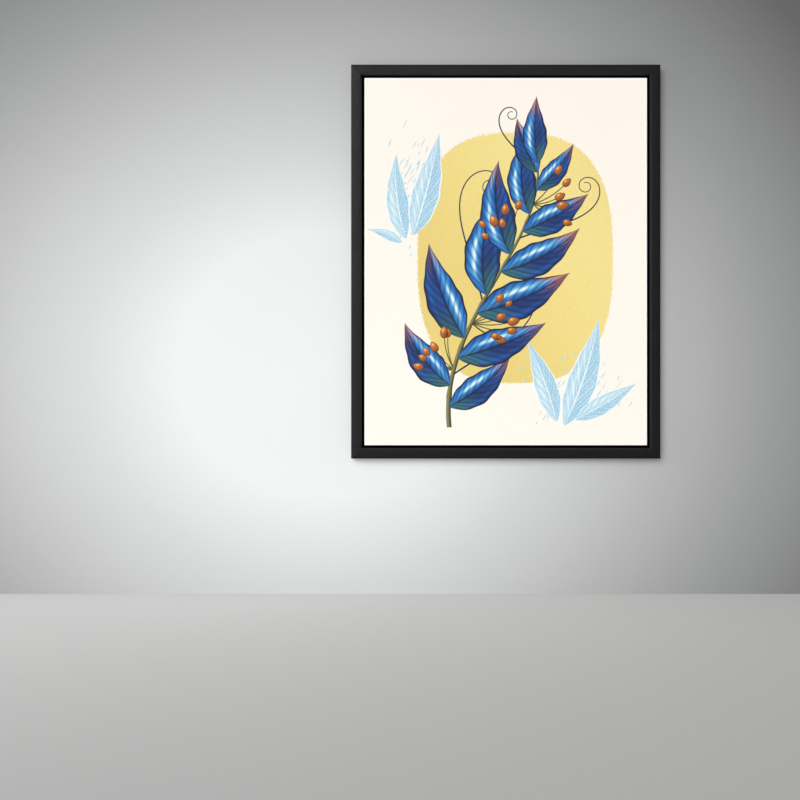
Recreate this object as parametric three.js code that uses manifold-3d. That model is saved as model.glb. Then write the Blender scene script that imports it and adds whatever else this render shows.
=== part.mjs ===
// Framed canvas print: cloth stretched over a braced pine stretcher, floating in a deep black frame.
// Millimetres, +Z up, and the picture faces -Y. The wall is the plane y = 0, and the origin is the middle
// of the face that the hanging rail lays against it. The four sides are built alike: each in its own frame,
// with x along the side and z rising from the outer edge inwards, and turned into place about Y.

import * as THREE from 'three';
import { mergeVertices } from 'three/addons/utils/BufferGeometryUtils.js';
import Module from 'manifold-3d';

// Driving dimensions
const CLEARANCE = 0.3;
const STANDOFF = 8;
const CANVAS = { width: 1500, height: 1950, cloth: 1, recess: 3, turnover: 38 };
const FRAME = { face: 56, depth: 50, gap: 15 };
const LEDGE = { thickness: 8, reach: 20, inRebate: 12 };
const FRAME_EDGES = { innerChamfer: 7, outerRadius: 5, backChamfer: 1.5 };
const BAR = { width: 45, bead: 9, bevel: 4, arris: 1.5 };
const BRACE = { width: 45, depth: 20, tenonLength: 15, tenonWidth: 25, tenonThickness: 8 };
const KEY = { length: 44, inBar: 14, tip: 8, butt: 22, thickness: 4, depths: [-31, -41] };
const RAIL = { length: 900, thickness: 3, lip: 18, flange: 25, belowTop: 12, screws: [-390, -130, 130, 390] };
const BRACKET = { leg: 90, width: 18, thickness: 2, holes: [58, 92], cornerCut: 3, screwProud: 0.5 };
const BUMPER = { radius: 12, shoulder: 2, inset: 170, facets: 24 };
const SCREW = { rim: 0.5, dimple: 1.3, tip: 0.6, facets: 12 };
const RAIL_SCREW = { head: 4.2, shank: 2, length: 32 };
const BRACKET_SCREW = { head: 3.4, shank: 1.5, length: 16 };
const CANVAS_SCREW = { head: 4.2, shank: 2, length: 30, inset: 81 };
const CANVAS_SCREW_PLACES = { width: [-450, 450], height: [-700, 0, 700] };
const ARC_STEPS = 5;
const OVERCUT = 5;

// Depth planes, from the wall forwards
const FRAME_BACK = -STANDOFF;
const FRAME_FRONT = FRAME_BACK - FRAME.depth;
const LEDGE_FRONT = FRAME_BACK - LEDGE.thickness;
const FLAP_BACK = LEDGE_FRONT - CLEARANCE;
const FLAP_FRONT = FLAP_BACK - CANVAS.cloth;
const BAR_BACK = FLAP_FRONT - CLEARANCE;
const CANVAS_FRONT = FRAME_FRONT + CANVAS.recess;
const CANVAS_BACK = CANVAS_FRONT + CANVAS.cloth;
const BAR_FRONT = CANVAS_BACK + CLEARANCE;
const BRACE_FRONT = BAR_BACK - BRACE.depth;
const BRACE_MIDDLE = (BAR_BACK + BRACE_FRONT) / 2;
const PLATE_FRONT = FRAME_BACK + CLEARANCE;
const RAIL_FLANGE_BACK = PLATE_FRONT + RAIL.thickness;
const BRACKET_BACK = PLATE_FRONT + BRACKET.thickness;

// Half sizes of the nested rectangles, and the height of their common centre
const BORDER = FRAME.face + FRAME.gap;
const CANVAS_HALF = { width: CANVAS.width / 2, height: CANVAS.height / 2 };
const FRAME_HALF = grown(CANVAS_HALF, BORDER);
const BAR_HALF = grown(CANVAS_HALF, -CANVAS.cloth - CLEARANCE);
const OPENING_HALF = grown(BAR_HALF, -BAR.width);
const RAIL_WEB = RAIL.belowTop + RAIL.flange - RAIL.thickness;
const CENTRE_Z = RAIL_WEB + RAIL.lip / 2 - FRAME_HALF.height;

const FINISHES = {
  blackFrame: { color: 0x29292b, roughness: 0.5, metalness: 0 },
  pine: { color: 0xd8b98a, roughness: 0.7, metalness: 0 },
  canvas: { color: 0xfff7eb, roughness: 0.85, metalness: 0 },
  beech: { color: 0xc9a06c, roughness: 0.6, metalness: 0 },
  zincSteel: { color: 0xb9bcc0, roughness: 0.35, metalness: 0.9 },
  aluminium: { color: 0xc4c6c9, roughness: 0.35, metalness: 0.9 },
  rubber: { color: 0x1b1b1c, roughness: 0.85, metalness: 0 },
};

// Each side is turned a quarter further than the one before, clockwise as seen from the front.
const SIDES = ['bottom', 'left', 'top', 'right'].map((name, turn) => ({
  name,
  turn,
  along: turn % 2 === 0 ? 'width' : 'height',
  across: turn % 2 === 0 ? 'height' : 'width',
}));
const TOP = SIDES[2];

const CORNERS = [
  { name: 'bottom_left', x: -1, z: -1 },
  { name: 'top_left', x: -1, z: 1 },
  { name: 'top_right', x: 1, z: 1 },
  { name: 'bottom_right', x: 1, z: -1 },
];

const wasm = await Module();
wasm.setup();

const picture = new THREE.Group();
picture.position.z = CENTRE_Z;

// A rectangle's half sizes, moved outwards by a distance.
function grown(half, by) {
  return { width: half.width + by, height: half.height + by };
}

// The side that a side's end meets: its +x end meets the one before it, its -x end the one after.
function neighbour(side, end) {
  return SIDES[(side.turn + (end > 0 ? SIDES.length - 1 : 1)) % SIDES.length];
}

// A group turned by quarters about Y, with its origin at (x, 0, z) from the picture's centre.
function turnedGroup(turn, x = 0, z = 0) {
  const group = new THREE.Group();
  group.position.set(x, 0, z);
  group.rotation.y = turn * Math.PI / 2;
  picture.add(group);
  return group;
}

function addMesh(parent, name, geometry, finish) {
  const mesh = new THREE.Mesh(geometry, new THREE.MeshStandardMaterial(FINISHES[finish]));
  mesh.name = name;
  parent.add(mesh);
}

// A closed geometry as a solid that can be joined and cut.
function solidOf(geometry) {
  const bare = geometry.clone();
  bare.deleteAttribute('normal');
  bare.deleteAttribute('uv');
  const merged = mergeVertices(bare);
  return new wasm.Manifold(new wasm.Mesh({
    numProp: 3,
    vertProperties: merged.getAttribute('position').array,
    triVerts: Uint32Array.from(merged.getIndex().array),
  }));
}

function geometryOf(solid) {
  const { vertProperties, triVerts } = solid.getMesh();
  const geometry = new THREE.BufferGeometry();
  geometry.setAttribute('position', new THREE.BufferAttribute(vertProperties, 3));
  geometry.setIndex(new THREE.BufferAttribute(triVerts, 1));
  return geometry;
}

function join(first, second) {
  return geometryOf(solidOf(first).add(solidOf(second)));
}

function cut(geometry, cutters) {
  return geometryOf(cutters.reduce((solid, cutter) => solid.subtract(solidOf(cutter)), solidOf(geometry)));
}

function vectors(pairs) {
  return pairs.map(([a, b]) => new THREE.Vector2(a, b));
}

// A box from its lowest corner to its highest.
function block([x0, y0, z0], [x1, y1, z1]) {
  const geometry = new THREE.BoxGeometry(x1 - x0, y1 - y0, z1 - z0);
  return geometry.translate((x0 + x1) / 2, (y0 + y1) / 2, (z0 + z1) / 2);
}

// An outline of (x, z) pairs, as a plate from depth y0 back to depth y1.
function plate(outline, y0, y1) {
  const shape = new THREE.Shape(vectors(outline));
  const geometry = new THREE.ExtrudeGeometry(shape, { depth: y1 - y0, bevelEnabled: false });
  return geometry.rotateX(Math.PI / 2).translate(0, y1, 0);
}

// A section drawn inwards from the outer edge and carried along a side, with both ends mitred.
function mitredLength(section, half, side) {
  const settings = { depth: 1, bevelEnabled: false, curveSegments: ARC_STEPS };
  const geometry = new THREE.ExtrudeGeometry(section, settings);
  const points = geometry.getAttribute('position');
  for (let i = 0; i < points.count; i += 1) {
    const inward = points.getX(i);
    const reach = half[side.along] - inward - CLEARANCE / Math.SQRT2;
    const end = points.getZ(i) > 0 ? -1 : 1;
    points.setXYZ(i, end * reach, points.getY(i), inward - half[side.across]);
  }
  return geometry;
}

// A countersunk wood screw that points at -Y, its flat head at depth y, with a dimple for the driver.
function screw({ head, shank, length }, x, y, z) {
  const profile = [
    [0, -length],
    [SCREW.tip, -length],
    [shank, 2 * shank - length],
    [shank, shank - head - SCREW.rim],
    [head, -SCREW.rim],
    [head, 0],
    [SCREW.dimple, 0],
    [0, -SCREW.dimple],
  ];
  return new THREE.LatheGeometry(vectors(profile), SCREW.facets).translate(x, y, z);
}

// The countersunk hole that such a screw sits in, wider by the clearance all round.
function screwHole({ head, shank, length }, x, y, z) {
  const rim = SCREW.rim + CLEARANCE / 2;
  const bore = shank + CLEARANCE;
  const profile = [
    [0, -length - CLEARANCE],
    [bore, -length - CLEARANCE],
    [bore, shank - head - rim],
    [head + CLEARANCE, -rim],
    [head + CLEARANCE, OVERCUT],
    [0, OVERCUT],
  ];
  return new THREE.LatheGeometry(vectors(profile), SCREW.facets).translate(x, y, z);
}

// The screws that fix the canvas to the ledge along one side, or with screwHole their holes.
function canvasScrews(side, make) {
  const z = CANVAS_SCREW.inset - FRAME_HALF[side.across];
  return CANVAS_SCREW_PLACES[side.along].map((x) => make(CANVAS_SCREW, x, FRAME_BACK, z));
}

// The screws through the hanging rail's flange, or with screwHole their holes.
function railScrews(make) {
  const z = RAIL.belowTop + RAIL.flange / 2 - FRAME_HALF[TOP.across];
  return RAIL.screws.map((x) => make(RAIL_SCREW, x, RAIL_FLANGE_BACK, z));
}

// The holes in one rail for the screws of the brackets at its two ends.
function bracketHolesInRail(side) {
  const z = FRAME.face / 2 - FRAME_HALF[side.across];
  return [-1, 1].flatMap((end) => BRACKET.holes.map((hole) => {
    const x = end * (FRAME_HALF[side.along] - hole);
    return screwHole(BRACKET_SCREW, x, BRACKET_BACK, z);
  }));
}

// The frame's moulding: a broad face with a chamfer to the gap, and a rebate in its back for the ledge.
function frameSection() {
  const { innerChamfer, outerRadius, backChamfer } = FRAME_EDGES;
  const rebate = FRAME.face - LEDGE.inRebate;
  const section = new THREE.Shape();
  section.moveTo(backChamfer, FRAME_BACK);
  section.lineTo(0, FRAME_BACK - backChamfer);
  section.absarc(outerRadius, FRAME_FRONT + outerRadius, outerRadius, Math.PI, 1.5 * Math.PI, false);
  section.lineTo(FRAME.face - innerChamfer, FRAME_FRONT);
  section.lineTo(FRAME.face, FRAME_FRONT + innerChamfer);
  section.lineTo(FRAME.face, LEDGE_FRONT - CLEARANCE);
  section.lineTo(rebate, LEDGE_FRONT - CLEARANCE);
  section.lineTo(rebate, FRAME_BACK);
  section.closePath();
  return section;
}

function addFrameRail(side, group) {
  const holes = bracketHolesInRail(side);
  if (side === TOP) holes.push(...railScrews(screwHole));
  const moulding = mitredLength(frameSection(), FRAME_HALF, side);
  addMesh(group, `frame_rail_${side.name}`, cut(moulding, holes), 'blackFrame');
}

// The ledge: a flat strip glued into the moulding's rebate, which runs in behind the canvas and carries it.
function addLedge(side, group) {
  const outer = FRAME.face - LEDGE.inRebate + CLEARANCE;
  const inner = BORDER + LEDGE.reach;
  const section = new THREE.Shape(vectors([
    [outer, LEDGE_FRONT],
    [inner, LEDGE_FRONT],
    [inner, FRAME_BACK],
    [outer, FRAME_BACK],
  ]));
  const strip = cut(mitredLength(section, FRAME_HALF, side), canvasScrews(side, screwHole));
  addMesh(group, `frame_ledge_${side.name}`, strip, 'blackFrame');
}

// The stretcher's moulding: a raised bead round the outside, and a bevel that falls away from the cloth.
function barSection() {
  const { width, bead, bevel, arris } = BAR;
  return new THREE.Shape(vectors([
    [0, BAR_BACK],
    [0, BAR_FRONT + arris],
    [arris, BAR_FRONT],
    [bead, BAR_FRONT],
    [bead + bevel, BAR_FRONT + bevel / 2],
    [width, BAR_FRONT + bevel],
    [width, BAR_BACK],
  ]));
}

// The mortise in the middle of a bar, which takes a brace's tenon.
function mortise(side) {
  const inner = -OPENING_HALF[side.across];
  const x = BRACE.tenonWidth / 2 + CLEARANCE;
  const y = BRACE.tenonThickness / 2 + CLEARANCE;
  const foot = inner - BRACE.tenonLength - CLEARANCE;
  return block([-x, BRACE_MIDDLE - y, foot], [x, BRACE_MIDDLE + y, inner + OVERCUT]);
}

// The slot at a bar's end that takes the tip of the key lying along its neighbour, open to the mitre.
function keySlot(side, end) {
  const inner = -OPENING_HALF[side.across];
  const corner = OPENING_HALF[side.along];
  const mouth = KEY.tip + (KEY.butt - KEY.tip) * KEY.inBar / KEY.length + CLEARANCE;
  const depth = KEY.depths[neighbour(side, end).turn % 2];
  const y = KEY.thickness / 2 + CLEARANCE;
  const foot = inner - KEY.inBar - CLEARANCE;
  const slot = block([corner - mouth, depth - y, foot], [corner + BAR.width, depth + y, inner + OVERCUT]);
  return end > 0 ? slot : slot.rotateZ(Math.PI).translate(0, 2 * depth, 0);
}

function addStretcherBar(side, group) {
  const cutters = [mortise(side), keySlot(side, -1), keySlot(side, 1), ...canvasScrews(side, screwHole)];
  const bar = mitredLength(barSection(), BAR_HALF, side);
  addMesh(group, `stretcher_bar_${side.name}`, cut(bar, cutters), 'pine');
}

// Two keys lie flat along each bar's inner face, with their tips driven into the bars it meets.
function addCornerKeys(side, group) {
  const inner = -OPENING_HALF[side.across];
  const depth = KEY.depths[side.turn % 2];
  for (const end of [-1, 1]) {
    const tipX = end * (OPENING_HALF[side.along] + KEY.inBar);
    const buttX = tipX - end * KEY.length;
    const outline = [
      [tipX, inner + CLEARANCE],
      [tipX, inner + KEY.tip],
      [buttX, inner + KEY.butt],
      [buttX, inner + CLEARANCE],
    ];
    const key = plate(outline, depth - KEY.thickness / 2, depth + KEY.thickness / 2);
    addMesh(group, `corner_key_${side.name}_${neighbour(side, end).name}`, key, 'beech');
  }
}

// A brace runs from bar to bar, tenoned into both, and is notched from notchFront to notchBack where it
// crosses the other brace.
function addBrace(name, side, group, notchFront, notchBack) {
  const shoulder = OPENING_HALF[side.along] - CLEARANCE;
  const tip = OPENING_HALF[side.along] + BRACE.tenonLength;
  const half = BRACE.width / 2;
  const tenonHalf = BRACE.tenonWidth / 2;
  const tongue = BRACE.tenonThickness / 2;
  const lath = block([-shoulder, BRACE_FRONT, -half], [shoulder, BAR_BACK, half]);
  const tenons = block([-tip, BRACE_MIDDLE - tongue, -tenonHalf], [tip, BRACE_MIDDLE + tongue, tenonHalf]);
  const notch = half + CLEARANCE;
  const halving = block([-notch, notchFront, -half - OVERCUT], [notch, notchBack, half + OVERCUT]);
  addMesh(group, name, cut(join(lath, tenons), [halving]), 'pine');
}

// On each side the cloth turns round the bar in a strip that ends in a flap behind it.
function addCanvasTurn(side, group) {
  const section = new THREE.Shape(vectors([
    [0, BAR_FRONT],
    [CANVAS.cloth, BAR_FRONT],
    [CANVAS.cloth, FLAP_FRONT],
    [CANVAS.turnover, FLAP_FRONT],
    [CANVAS.turnover, FLAP_BACK],
    [0, FLAP_BACK],
  ]));
  const strip = cut(mitredLength(section, CANVAS_HALF, side), canvasScrews(side, screwHole));
  addMesh(group, `canvas_turn_${side.name}`, strip, 'canvas');
  canvasScrews(side, screw).forEach((geometry, i) => {
    addMesh(group, `canvas_screw_${side.name}_${i + 1}`, geometry, 'zincSteel');
  });
}

function addCanvasFront() {
  const { width, height } = CANVAS_HALF;
  const face = block([-width, CANVAS_FRONT, -height], [width, CANVAS_BACK, height]);
  addMesh(picture, 'canvas_front', face, 'canvas');
}

// The hanging rail: a Z section with its flange on the frame, and a lip that drops behind a rail on the wall.
function addHangingRail(group) {
  const section = new THREE.Shape(vectors([
    [0, RAIL_WEB],
    [RAIL_FLANGE_BACK, RAIL_WEB],
    [RAIL_FLANGE_BACK, RAIL.belowTop],
    [PLATE_FRONT, RAIL.belowTop],
    [PLATE_FRONT, RAIL_WEB + RAIL.thickness],
    [-RAIL.thickness, RAIL_WEB + RAIL.thickness],
    [-RAIL.thickness, RAIL_WEB + RAIL.lip],
    [0, RAIL_WEB + RAIL.lip],
  ]));
  const length = new THREE.ExtrudeGeometry(section, { depth: RAIL.length, bevelEnabled: false });
  length.rotateX(Math.PI / 2).rotateZ(Math.PI / 2);
  length.translate(-RAIL.length / 2, 0, -FRAME_HALF[TOP.across]);
  addMesh(group, 'hanging_rail', cut(length, railScrews(screwHole)), 'aluminium');
  railScrews(screw).forEach((geometry, i) => {
    addMesh(group, `rail_screw_${i + 1}`, geometry, 'zincSteel');
  });
}

// A flat L plate across the back of each mitre, in one piece with the two screws into each rail.
function addCornerBracket(name, group) {
  const first = (FRAME.face - BRACKET.width) / 2;
  const second = first + BRACKET.width;
  const end = first + BRACKET.leg;
  const outline = [
    [first, first + BRACKET.cornerCut],
    [first + BRACKET.cornerCut, first],
    [end, first],
    [end, second],
    [second, second],
    [second, end],
    [first, end],
  ];
  const places = BRACKET.holes.flatMap((hole) => [[hole, FRAME.face / 2], [FRAME.face / 2, hole]]);
  const screws = places.map(([x, z]) => screw(BRACKET_SCREW, x, BRACKET_BACK + BRACKET.screwProud, z));
  const bracket = screws.reduce(join, plate(outline, PLATE_FRONT, BRACKET_BACK));
  addMesh(group, `corner_bracket_${name}`, bracket, 'zincSteel');
}

// A rubber bumper holds the foot of the frame off the wall by as much as the rail does its head.
function addBumper(name, way) {
  const { radius, shoulder, inset, facets } = BUMPER;
  const profile = [
    [0, PLATE_FRONT],
    [radius, PLATE_FRONT],
    [radius, -shoulder],
    [radius - shoulder, 0],
    [0, 0],
  ];
  const x = way * (FRAME_HALF.width - inset);
  const z = FRAME.face / 2 - FRAME_HALF.height;
  const bumper = new THREE.LatheGeometry(vectors(profile), facets).translate(x, 0, z);
  addMesh(picture, `bumper_${name}`, bumper, 'rubber');
}

const groups = SIDES.map((side) => turnedGroup(side.turn));
for (const side of SIDES) {
  const group = groups[side.turn];
  addFrameRail(side, group);
  addLedge(side, group);
  addStretcherBar(side, group);
  addCornerKeys(side, group);
  addCanvasTurn(side, group);
}
addCanvasFront();
addBrace('brace_horizontal', SIDES[0], groups[0], BRACE_MIDDLE - CLEARANCE / 2, BAR_BACK + OVERCUT);
addBrace('brace_vertical', SIDES[1], groups[1], BRACE_FRONT - OVERCUT, BRACE_MIDDLE + CLEARANCE / 2);
addHangingRail(groups[TOP.turn]);
CORNERS.forEach(({ name, x, z }, turn) => {
  addCornerBracket(name, turnedGroup(turn, x * FRAME_HALF.width, z * FRAME_HALF.height));
});
addBumper('left', -1);
addBumper('right', 1);

export default picture;
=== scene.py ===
"""Framed canvas print: the looks of a large printed canvas that floats in a deep black frame.

Metres, +Z up, +Y towards the wall, and the picture faces -Y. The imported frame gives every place: the
classes below read its boxes, build their surfaces from them with numpy, and dress them. Along a side,
"inward" is the distance from the frame's outer edge towards the middle of the picture.
"""

import logging
import math
from collections.abc import Callable, Sequence
from dataclasses import dataclass, field, replace
from enum import Enum
from functools import partial

import bmesh
import bpy
import numpy as np
from mathutils import Euler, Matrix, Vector
from numpy.typing import NDArray


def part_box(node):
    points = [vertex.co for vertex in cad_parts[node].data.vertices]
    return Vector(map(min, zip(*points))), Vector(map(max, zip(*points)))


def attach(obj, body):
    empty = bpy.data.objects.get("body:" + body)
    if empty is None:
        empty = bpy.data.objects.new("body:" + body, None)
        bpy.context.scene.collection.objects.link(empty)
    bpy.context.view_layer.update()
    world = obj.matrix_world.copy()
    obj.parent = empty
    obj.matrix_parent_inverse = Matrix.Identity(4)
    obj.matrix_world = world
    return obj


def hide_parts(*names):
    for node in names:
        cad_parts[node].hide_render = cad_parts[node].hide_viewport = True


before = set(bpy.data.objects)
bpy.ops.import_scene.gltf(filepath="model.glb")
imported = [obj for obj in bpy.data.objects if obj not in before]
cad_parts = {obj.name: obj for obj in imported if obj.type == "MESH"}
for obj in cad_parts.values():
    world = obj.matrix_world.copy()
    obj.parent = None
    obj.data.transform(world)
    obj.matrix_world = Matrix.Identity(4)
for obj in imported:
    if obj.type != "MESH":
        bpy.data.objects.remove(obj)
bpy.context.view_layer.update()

LOG = logging.getLogger("framed_canvas_print")
MM = 0.001
SEED = 20
MERGE_DISTANCE = 0.001 * MM
QUARTER = math.pi / 2

# Each corner as (1 for the right or -1 for the left, 1 for the top or -1 for the foot).
CORNERS = ((-1, -1), (-1, 1), (1, -1), (1, 1))

# The way to the light that the print is painted for, as (x, z).
LIGHT = np.array([-0.5, 0.87])

# Settings of a colour mix, for a blend and for a product. Its inputs 0, 6 and 7 are the factor and the two
# colours, and its output 2 is the mixed colour.
BLEND = {"data_type": "RGBA", "take": 2}
SHADE = BLEND | {"blend_type": "MULTIPLY"}

Array = NDArray[np.float64]
Pair = tuple[float, float]
Place = tuple[float, float, float]
Socket = bpy.types.NodeSocket
Adder = Callable[..., Socket]
Drawn = dict[str, Socket]


class Grain(Enum):
    """The way the grain of a piece of wood runs."""

    ALONG_X = "x"
    ALONG_Z = "z"


class Side(Enum):
    """The four sides, clockwise from the front: a name, the way along (x, z) and the way inwards (x, z)."""

    BOTTOM = ("bottom", (1.0, 0.0), (0.0, 1.0))
    LEFT = ("left", (0.0, -1.0), (1.0, 0.0))
    TOP = ("top", (-1.0, 0.0), (0.0, -1.0))
    RIGHT = ("right", (0.0, 1.0), (-1.0, 0.0))

    @property
    def label(self) -> str:
        """The side's name, as the nodes have it."""
        return self.value[0]

    @property
    def level(self) -> bool:
        """True for the two sides that lie along X."""
        return self.value[1][0] != 0.0

    @property
    def grain(self) -> Grain:
        """The way the grain runs in a length of wood on this side."""
        return Grain.ALONG_X if self.level else Grain.ALONG_Z


@dataclass(frozen=True)
class Rectangle:
    """An upright rectangle about its centre, by its half sizes."""

    half_width: float
    half_height: float

    def grown(self, by: float) -> "Rectangle":
        """The rectangle with each edge moved outwards by a distance."""
        return Rectangle(self.half_width + by, self.half_height + by)

    def along(self, side: Side) -> float:
        """Half the length of a side."""
        return self.half_width if side.level else self.half_height

    def across(self, side: Side) -> float:
        """How far a side lies from the centre."""
        return self.half_height if side.level else self.half_width

    def corners(self, middle: float) -> list[Pair]:
        """Its corners as (x, height) about a height, anticlockwise from the lower left."""
        w, h = self.half_width, self.half_height
        return [(-w, middle - h), (w, middle - h), (w, middle + h), (-w, middle + h)]


@dataclass(frozen=True)
class Layout:
    """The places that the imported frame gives: rectangles, distances inward and depths."""

    centre_z: float
    outer: Rectangle
    canvas: Rectangle
    frame_face: float
    frame_front: float
    frame_back: float
    canvas_front: float
    ledge_front: float
    ledge_edge: float
    rebate: float
    flap_back: float
    flap_edge: float

    @classmethod
    def from_frame(cls) -> "Layout":
        """Reads the layout off the boxes of the nodes on the left, the top and the foot.

        Returns:
            The layout.
        """
        rail, rail_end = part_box("frame_rail_left")
        top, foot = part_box("frame_rail_top")[1].z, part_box("frame_rail_bottom")[0].z
        ledge, ledge_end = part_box("frame_ledge_left")
        flap, flap_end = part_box("canvas_turn_left")
        canvas, canvas_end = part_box("canvas_front")
        return cls(
            centre_z=(top + foot) / 2,
            outer=Rectangle(-rail.x, (top - foot) / 2),
            canvas=Rectangle(canvas_end.x, (canvas_end.z - canvas.z) / 2),
            frame_face=rail_end.x - rail.x,
            frame_front=rail.y,
            frame_back=rail_end.y,
            canvas_front=canvas.y,
            ledge_front=ledge.y,
            ledge_edge=ledge_end.x - rail.x,
            rebate=ledge.x - rail.x,
            flap_back=flap_end.y,
            flap_edge=flap_end.x - flap.x,
        )


@dataclass
class Shape:
    """A surface as points and faces, with values kept at its points."""

    points: Array
    faces: list[list[int]]
    values: dict[str, Array] = field(default_factory=dict)

    @staticmethod
    def joined(shapes: Sequence["Shape"]) -> "Shape":
        """Puts several surfaces into one.

        Args:
            shapes: the surfaces, which all keep the same values.

        Returns:
            The one surface.
        """
        starts = np.cumsum([0] + [len(shape.points) for shape in shapes])
        faces = [[start + i for i in face] for start, shape in zip(starts, shapes) for face in shape.faces]
        values = {
            name: np.concatenate([shape.values[name] for shape in shapes]) for name in shapes[0].values
        }
        return Shape(np.concatenate([shape.points for shape in shapes]), faces, values)


def as_points(*parts: Array | float) -> Array:
    """Two or three arrays of coordinates as points: an array of their common shape, with the parts last."""
    return np.stack(np.broadcast_arrays(*parts), axis=-1)


def toward(angle: Array | float) -> Array:
    """The unit vector (cos a, sin a) at each angle."""
    return as_points(np.cos(angle), np.sin(angle))


def smooth(low: float, high: float, value: Array) -> Array:
    """0 below low, 1 above high, and 3t^2 - 2t^3 between them."""
    t = np.clip((value - low) / (high - low), 0, 1)
    return t * t * (3 - 2 * t)


def full_turn(count: int) -> Array:
    """Angles evenly round a full turn."""
    return np.linspace(0, 2 * math.pi, count, endpoint=False)


def bell(value: Array, middle: float, width: float) -> Array:
    """A bump that is 1 at its middle: exp(-((value - middle) / width)^2)."""
    return np.exp(-(((value - middle) / width) ** 2))


def surface(points: Array, wrap: bool = False) -> Shape:
    """An open surface of quads between neighbouring points of a grid.

    Args:
        points: rows x columns x 3.
        wrap: whether the last column joins the first.

    Returns:
        The surface, with faces (i, j), (i, j+1), (i+1, j+1), (i+1, j).
    """
    index = np.arange(points.shape[0] * points.shape[1]).reshape(points.shape[:2])
    right = np.roll(index, -1, axis=1) if wrap else index[:, 1:]
    left = index if wrap else index[:, :-1]
    faces = np.stack([left[:-1], right[:-1], right[1:], left[1:]], axis=-1)
    return Shape(points.reshape(-1, 3), faces.reshape(-1, 4).tolist())


def stacked(rings: Array) -> Shape:
    """A closed solid from rings of points, with a flat face on the first ring and on the last.

    Args:
        rings: rings x points x 3.

    Returns:
        The solid.
    """
    count, size = rings.shape[:2]
    solid = surface(rings, wrap=True)
    solid.faces += [list(range(size)), list(range((count - 1) * size, count * size))]
    return solid


def skin(top: Array, foot: Array, wrap: bool = False) -> Shape:
    """A closed skin: two grids of points, back to back, joined along their rim.

    Args:
        top: rows x columns x 3.
        foot: the other grid, of the same shape.
        wrap: whether the last column joins the first, so that only the last row is a rim.

    Returns:
        The skin, with the points of the top first.
    """
    upper = surface(top, wrap)
    count = len(upper.points)
    index = np.arange(count).reshape(top.shape[:2])
    if wrap:
        edge = index[-1]
    else:
        edge = np.concatenate([index[0], index[1:, -1], index[-1, -2::-1], index[-2:0:-1, 0]])
    after = np.roll(edge, -1)
    rim = np.stack([edge, after, after + count, edge + count], axis=1).tolist()
    under = [[i + count for i in face[::-1]] for face in upper.faces]
    return Shape(np.concatenate([upper.points, foot.reshape(-1, 3)]), upper.faces + under + rim)


def turned(x: float, z: float, radius: Array, depth: Array, angle: Array) -> Shape:
    """A surface turned about an axis along Y, closed where its radius is 0: x + r cos a, z + r sin a.

    Args:
        x: the axis's place.
        z: the axis's height.
        radius: r at each station.
        depth: y at each station, or at each station and angle.
        angle: a round each station.

    Returns:
        The surface.
    """
    r = radius[:, None]
    depth = depth if depth.ndim == 2 else depth[:, None]
    return surface(as_points(x + r * np.cos(angle), depth, z + r * np.sin(angle)), wrap=True)


def rounded(corners: Sequence[Pair], radii: Sequence[float], steps: int = 4) -> Array:
    """A closed outline with an arc in place of each corner.

    An arc of radius r touches both edges at r / tan(a) from the corner, where a is half the angle between
    them, and its points swing evenly from one touching point to the other.

    Args:
        corners: the outline's corners in order.
        radii: the radius at each corner.
        steps: how many points each arc has.

    Returns:
        The outline's points, steps for each corner.
    """
    at = np.array(corners, float)
    before = np.roll(at, 1, axis=0) - at
    after = np.roll(at, -1, axis=0) - at
    before /= np.linalg.norm(before, axis=1, keepdims=True)
    after /= np.linalg.norm(after, axis=1, keepdims=True)
    half = np.arccos(np.clip((before * after).sum(1), -1, 1)) / 2
    radius = np.array(radii, float)
    middle = before + after
    middle /= np.linalg.norm(middle, axis=1, keepdims=True)
    centre = at + middle * (radius / np.sin(half))[:, None]
    first = at + before * (radius / np.tan(half))[:, None] - centre
    last = at + after * (radius / np.tan(half))[:, None] - centre
    swing = (math.pi - 2 * half)[:, None, None]
    share = np.linspace(0, 1, steps)[None, :, None]
    arc = np.sin((1 - share) * swing) * first[:, None] + np.sin(share * swing) * last[:, None]
    return (centre[:, None] + arc / np.sin(swing)).reshape(-1, 2)


def inset(outline: Array, by: float) -> Array:
    """An outline with each edge moved inwards, so that each point slides along its mitre.

    Args:
        outline: the outline's points, anticlockwise.
        by: how far each edge moves.

    Returns:
        The smaller outline.
    """
    edge = np.roll(outline, -1, axis=0) - outline
    normal = np.stack([-edge[:, 1], edge[:, 0]], axis=1)
    normal /= np.maximum(np.linalg.norm(normal, axis=1, keepdims=True), 1e-12)
    mitre = normal + np.roll(normal, 1, axis=0)
    mitre /= np.maximum((mitre * mitre).sum(1, keepdims=True), 1e-3) / 2
    return outline + by * mitre


def placed_on(side: Side, layout: Layout, along: Array, inward: Array, depth: Array) -> Array:
    """Points of a side in the row frame.

    Args:
        side: the side of the picture.
        layout: the picture's places.
        along: distance from the side's middle, along it.
        inward: distance from the frame's outer edge, inwards.
        depth: y.

    Returns:
        The points.
    """
    (along_x, along_z), (in_x, in_z) = side.value[1:]
    off = inward - layout.outer.across(side)
    return as_points(along_x * along + in_x * off, depth, along_z * along + in_z * off + layout.centre_z)


def channels(colour: str) -> Array:
    """The red, green and blue of an sRGB hex colour, from 0 to 1."""
    return np.array([int(colour[i:i + 2], 16) / 255 for i in (1, 3, 5)])


def to_linear(shown: Array) -> Array:
    """sRGB values from 0 to 1 as linear ones."""
    return np.where(shown <= 0.04045, shown / 12.92, ((shown + 0.055) / 1.055) ** 2.4)


def linear(colour: str) -> tuple[float, float, float, float]:
    """An sRGB hex colour as linear red, green, blue and alpha."""
    return (*map(float, to_linear(channels(colour))), 1.0)


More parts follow.
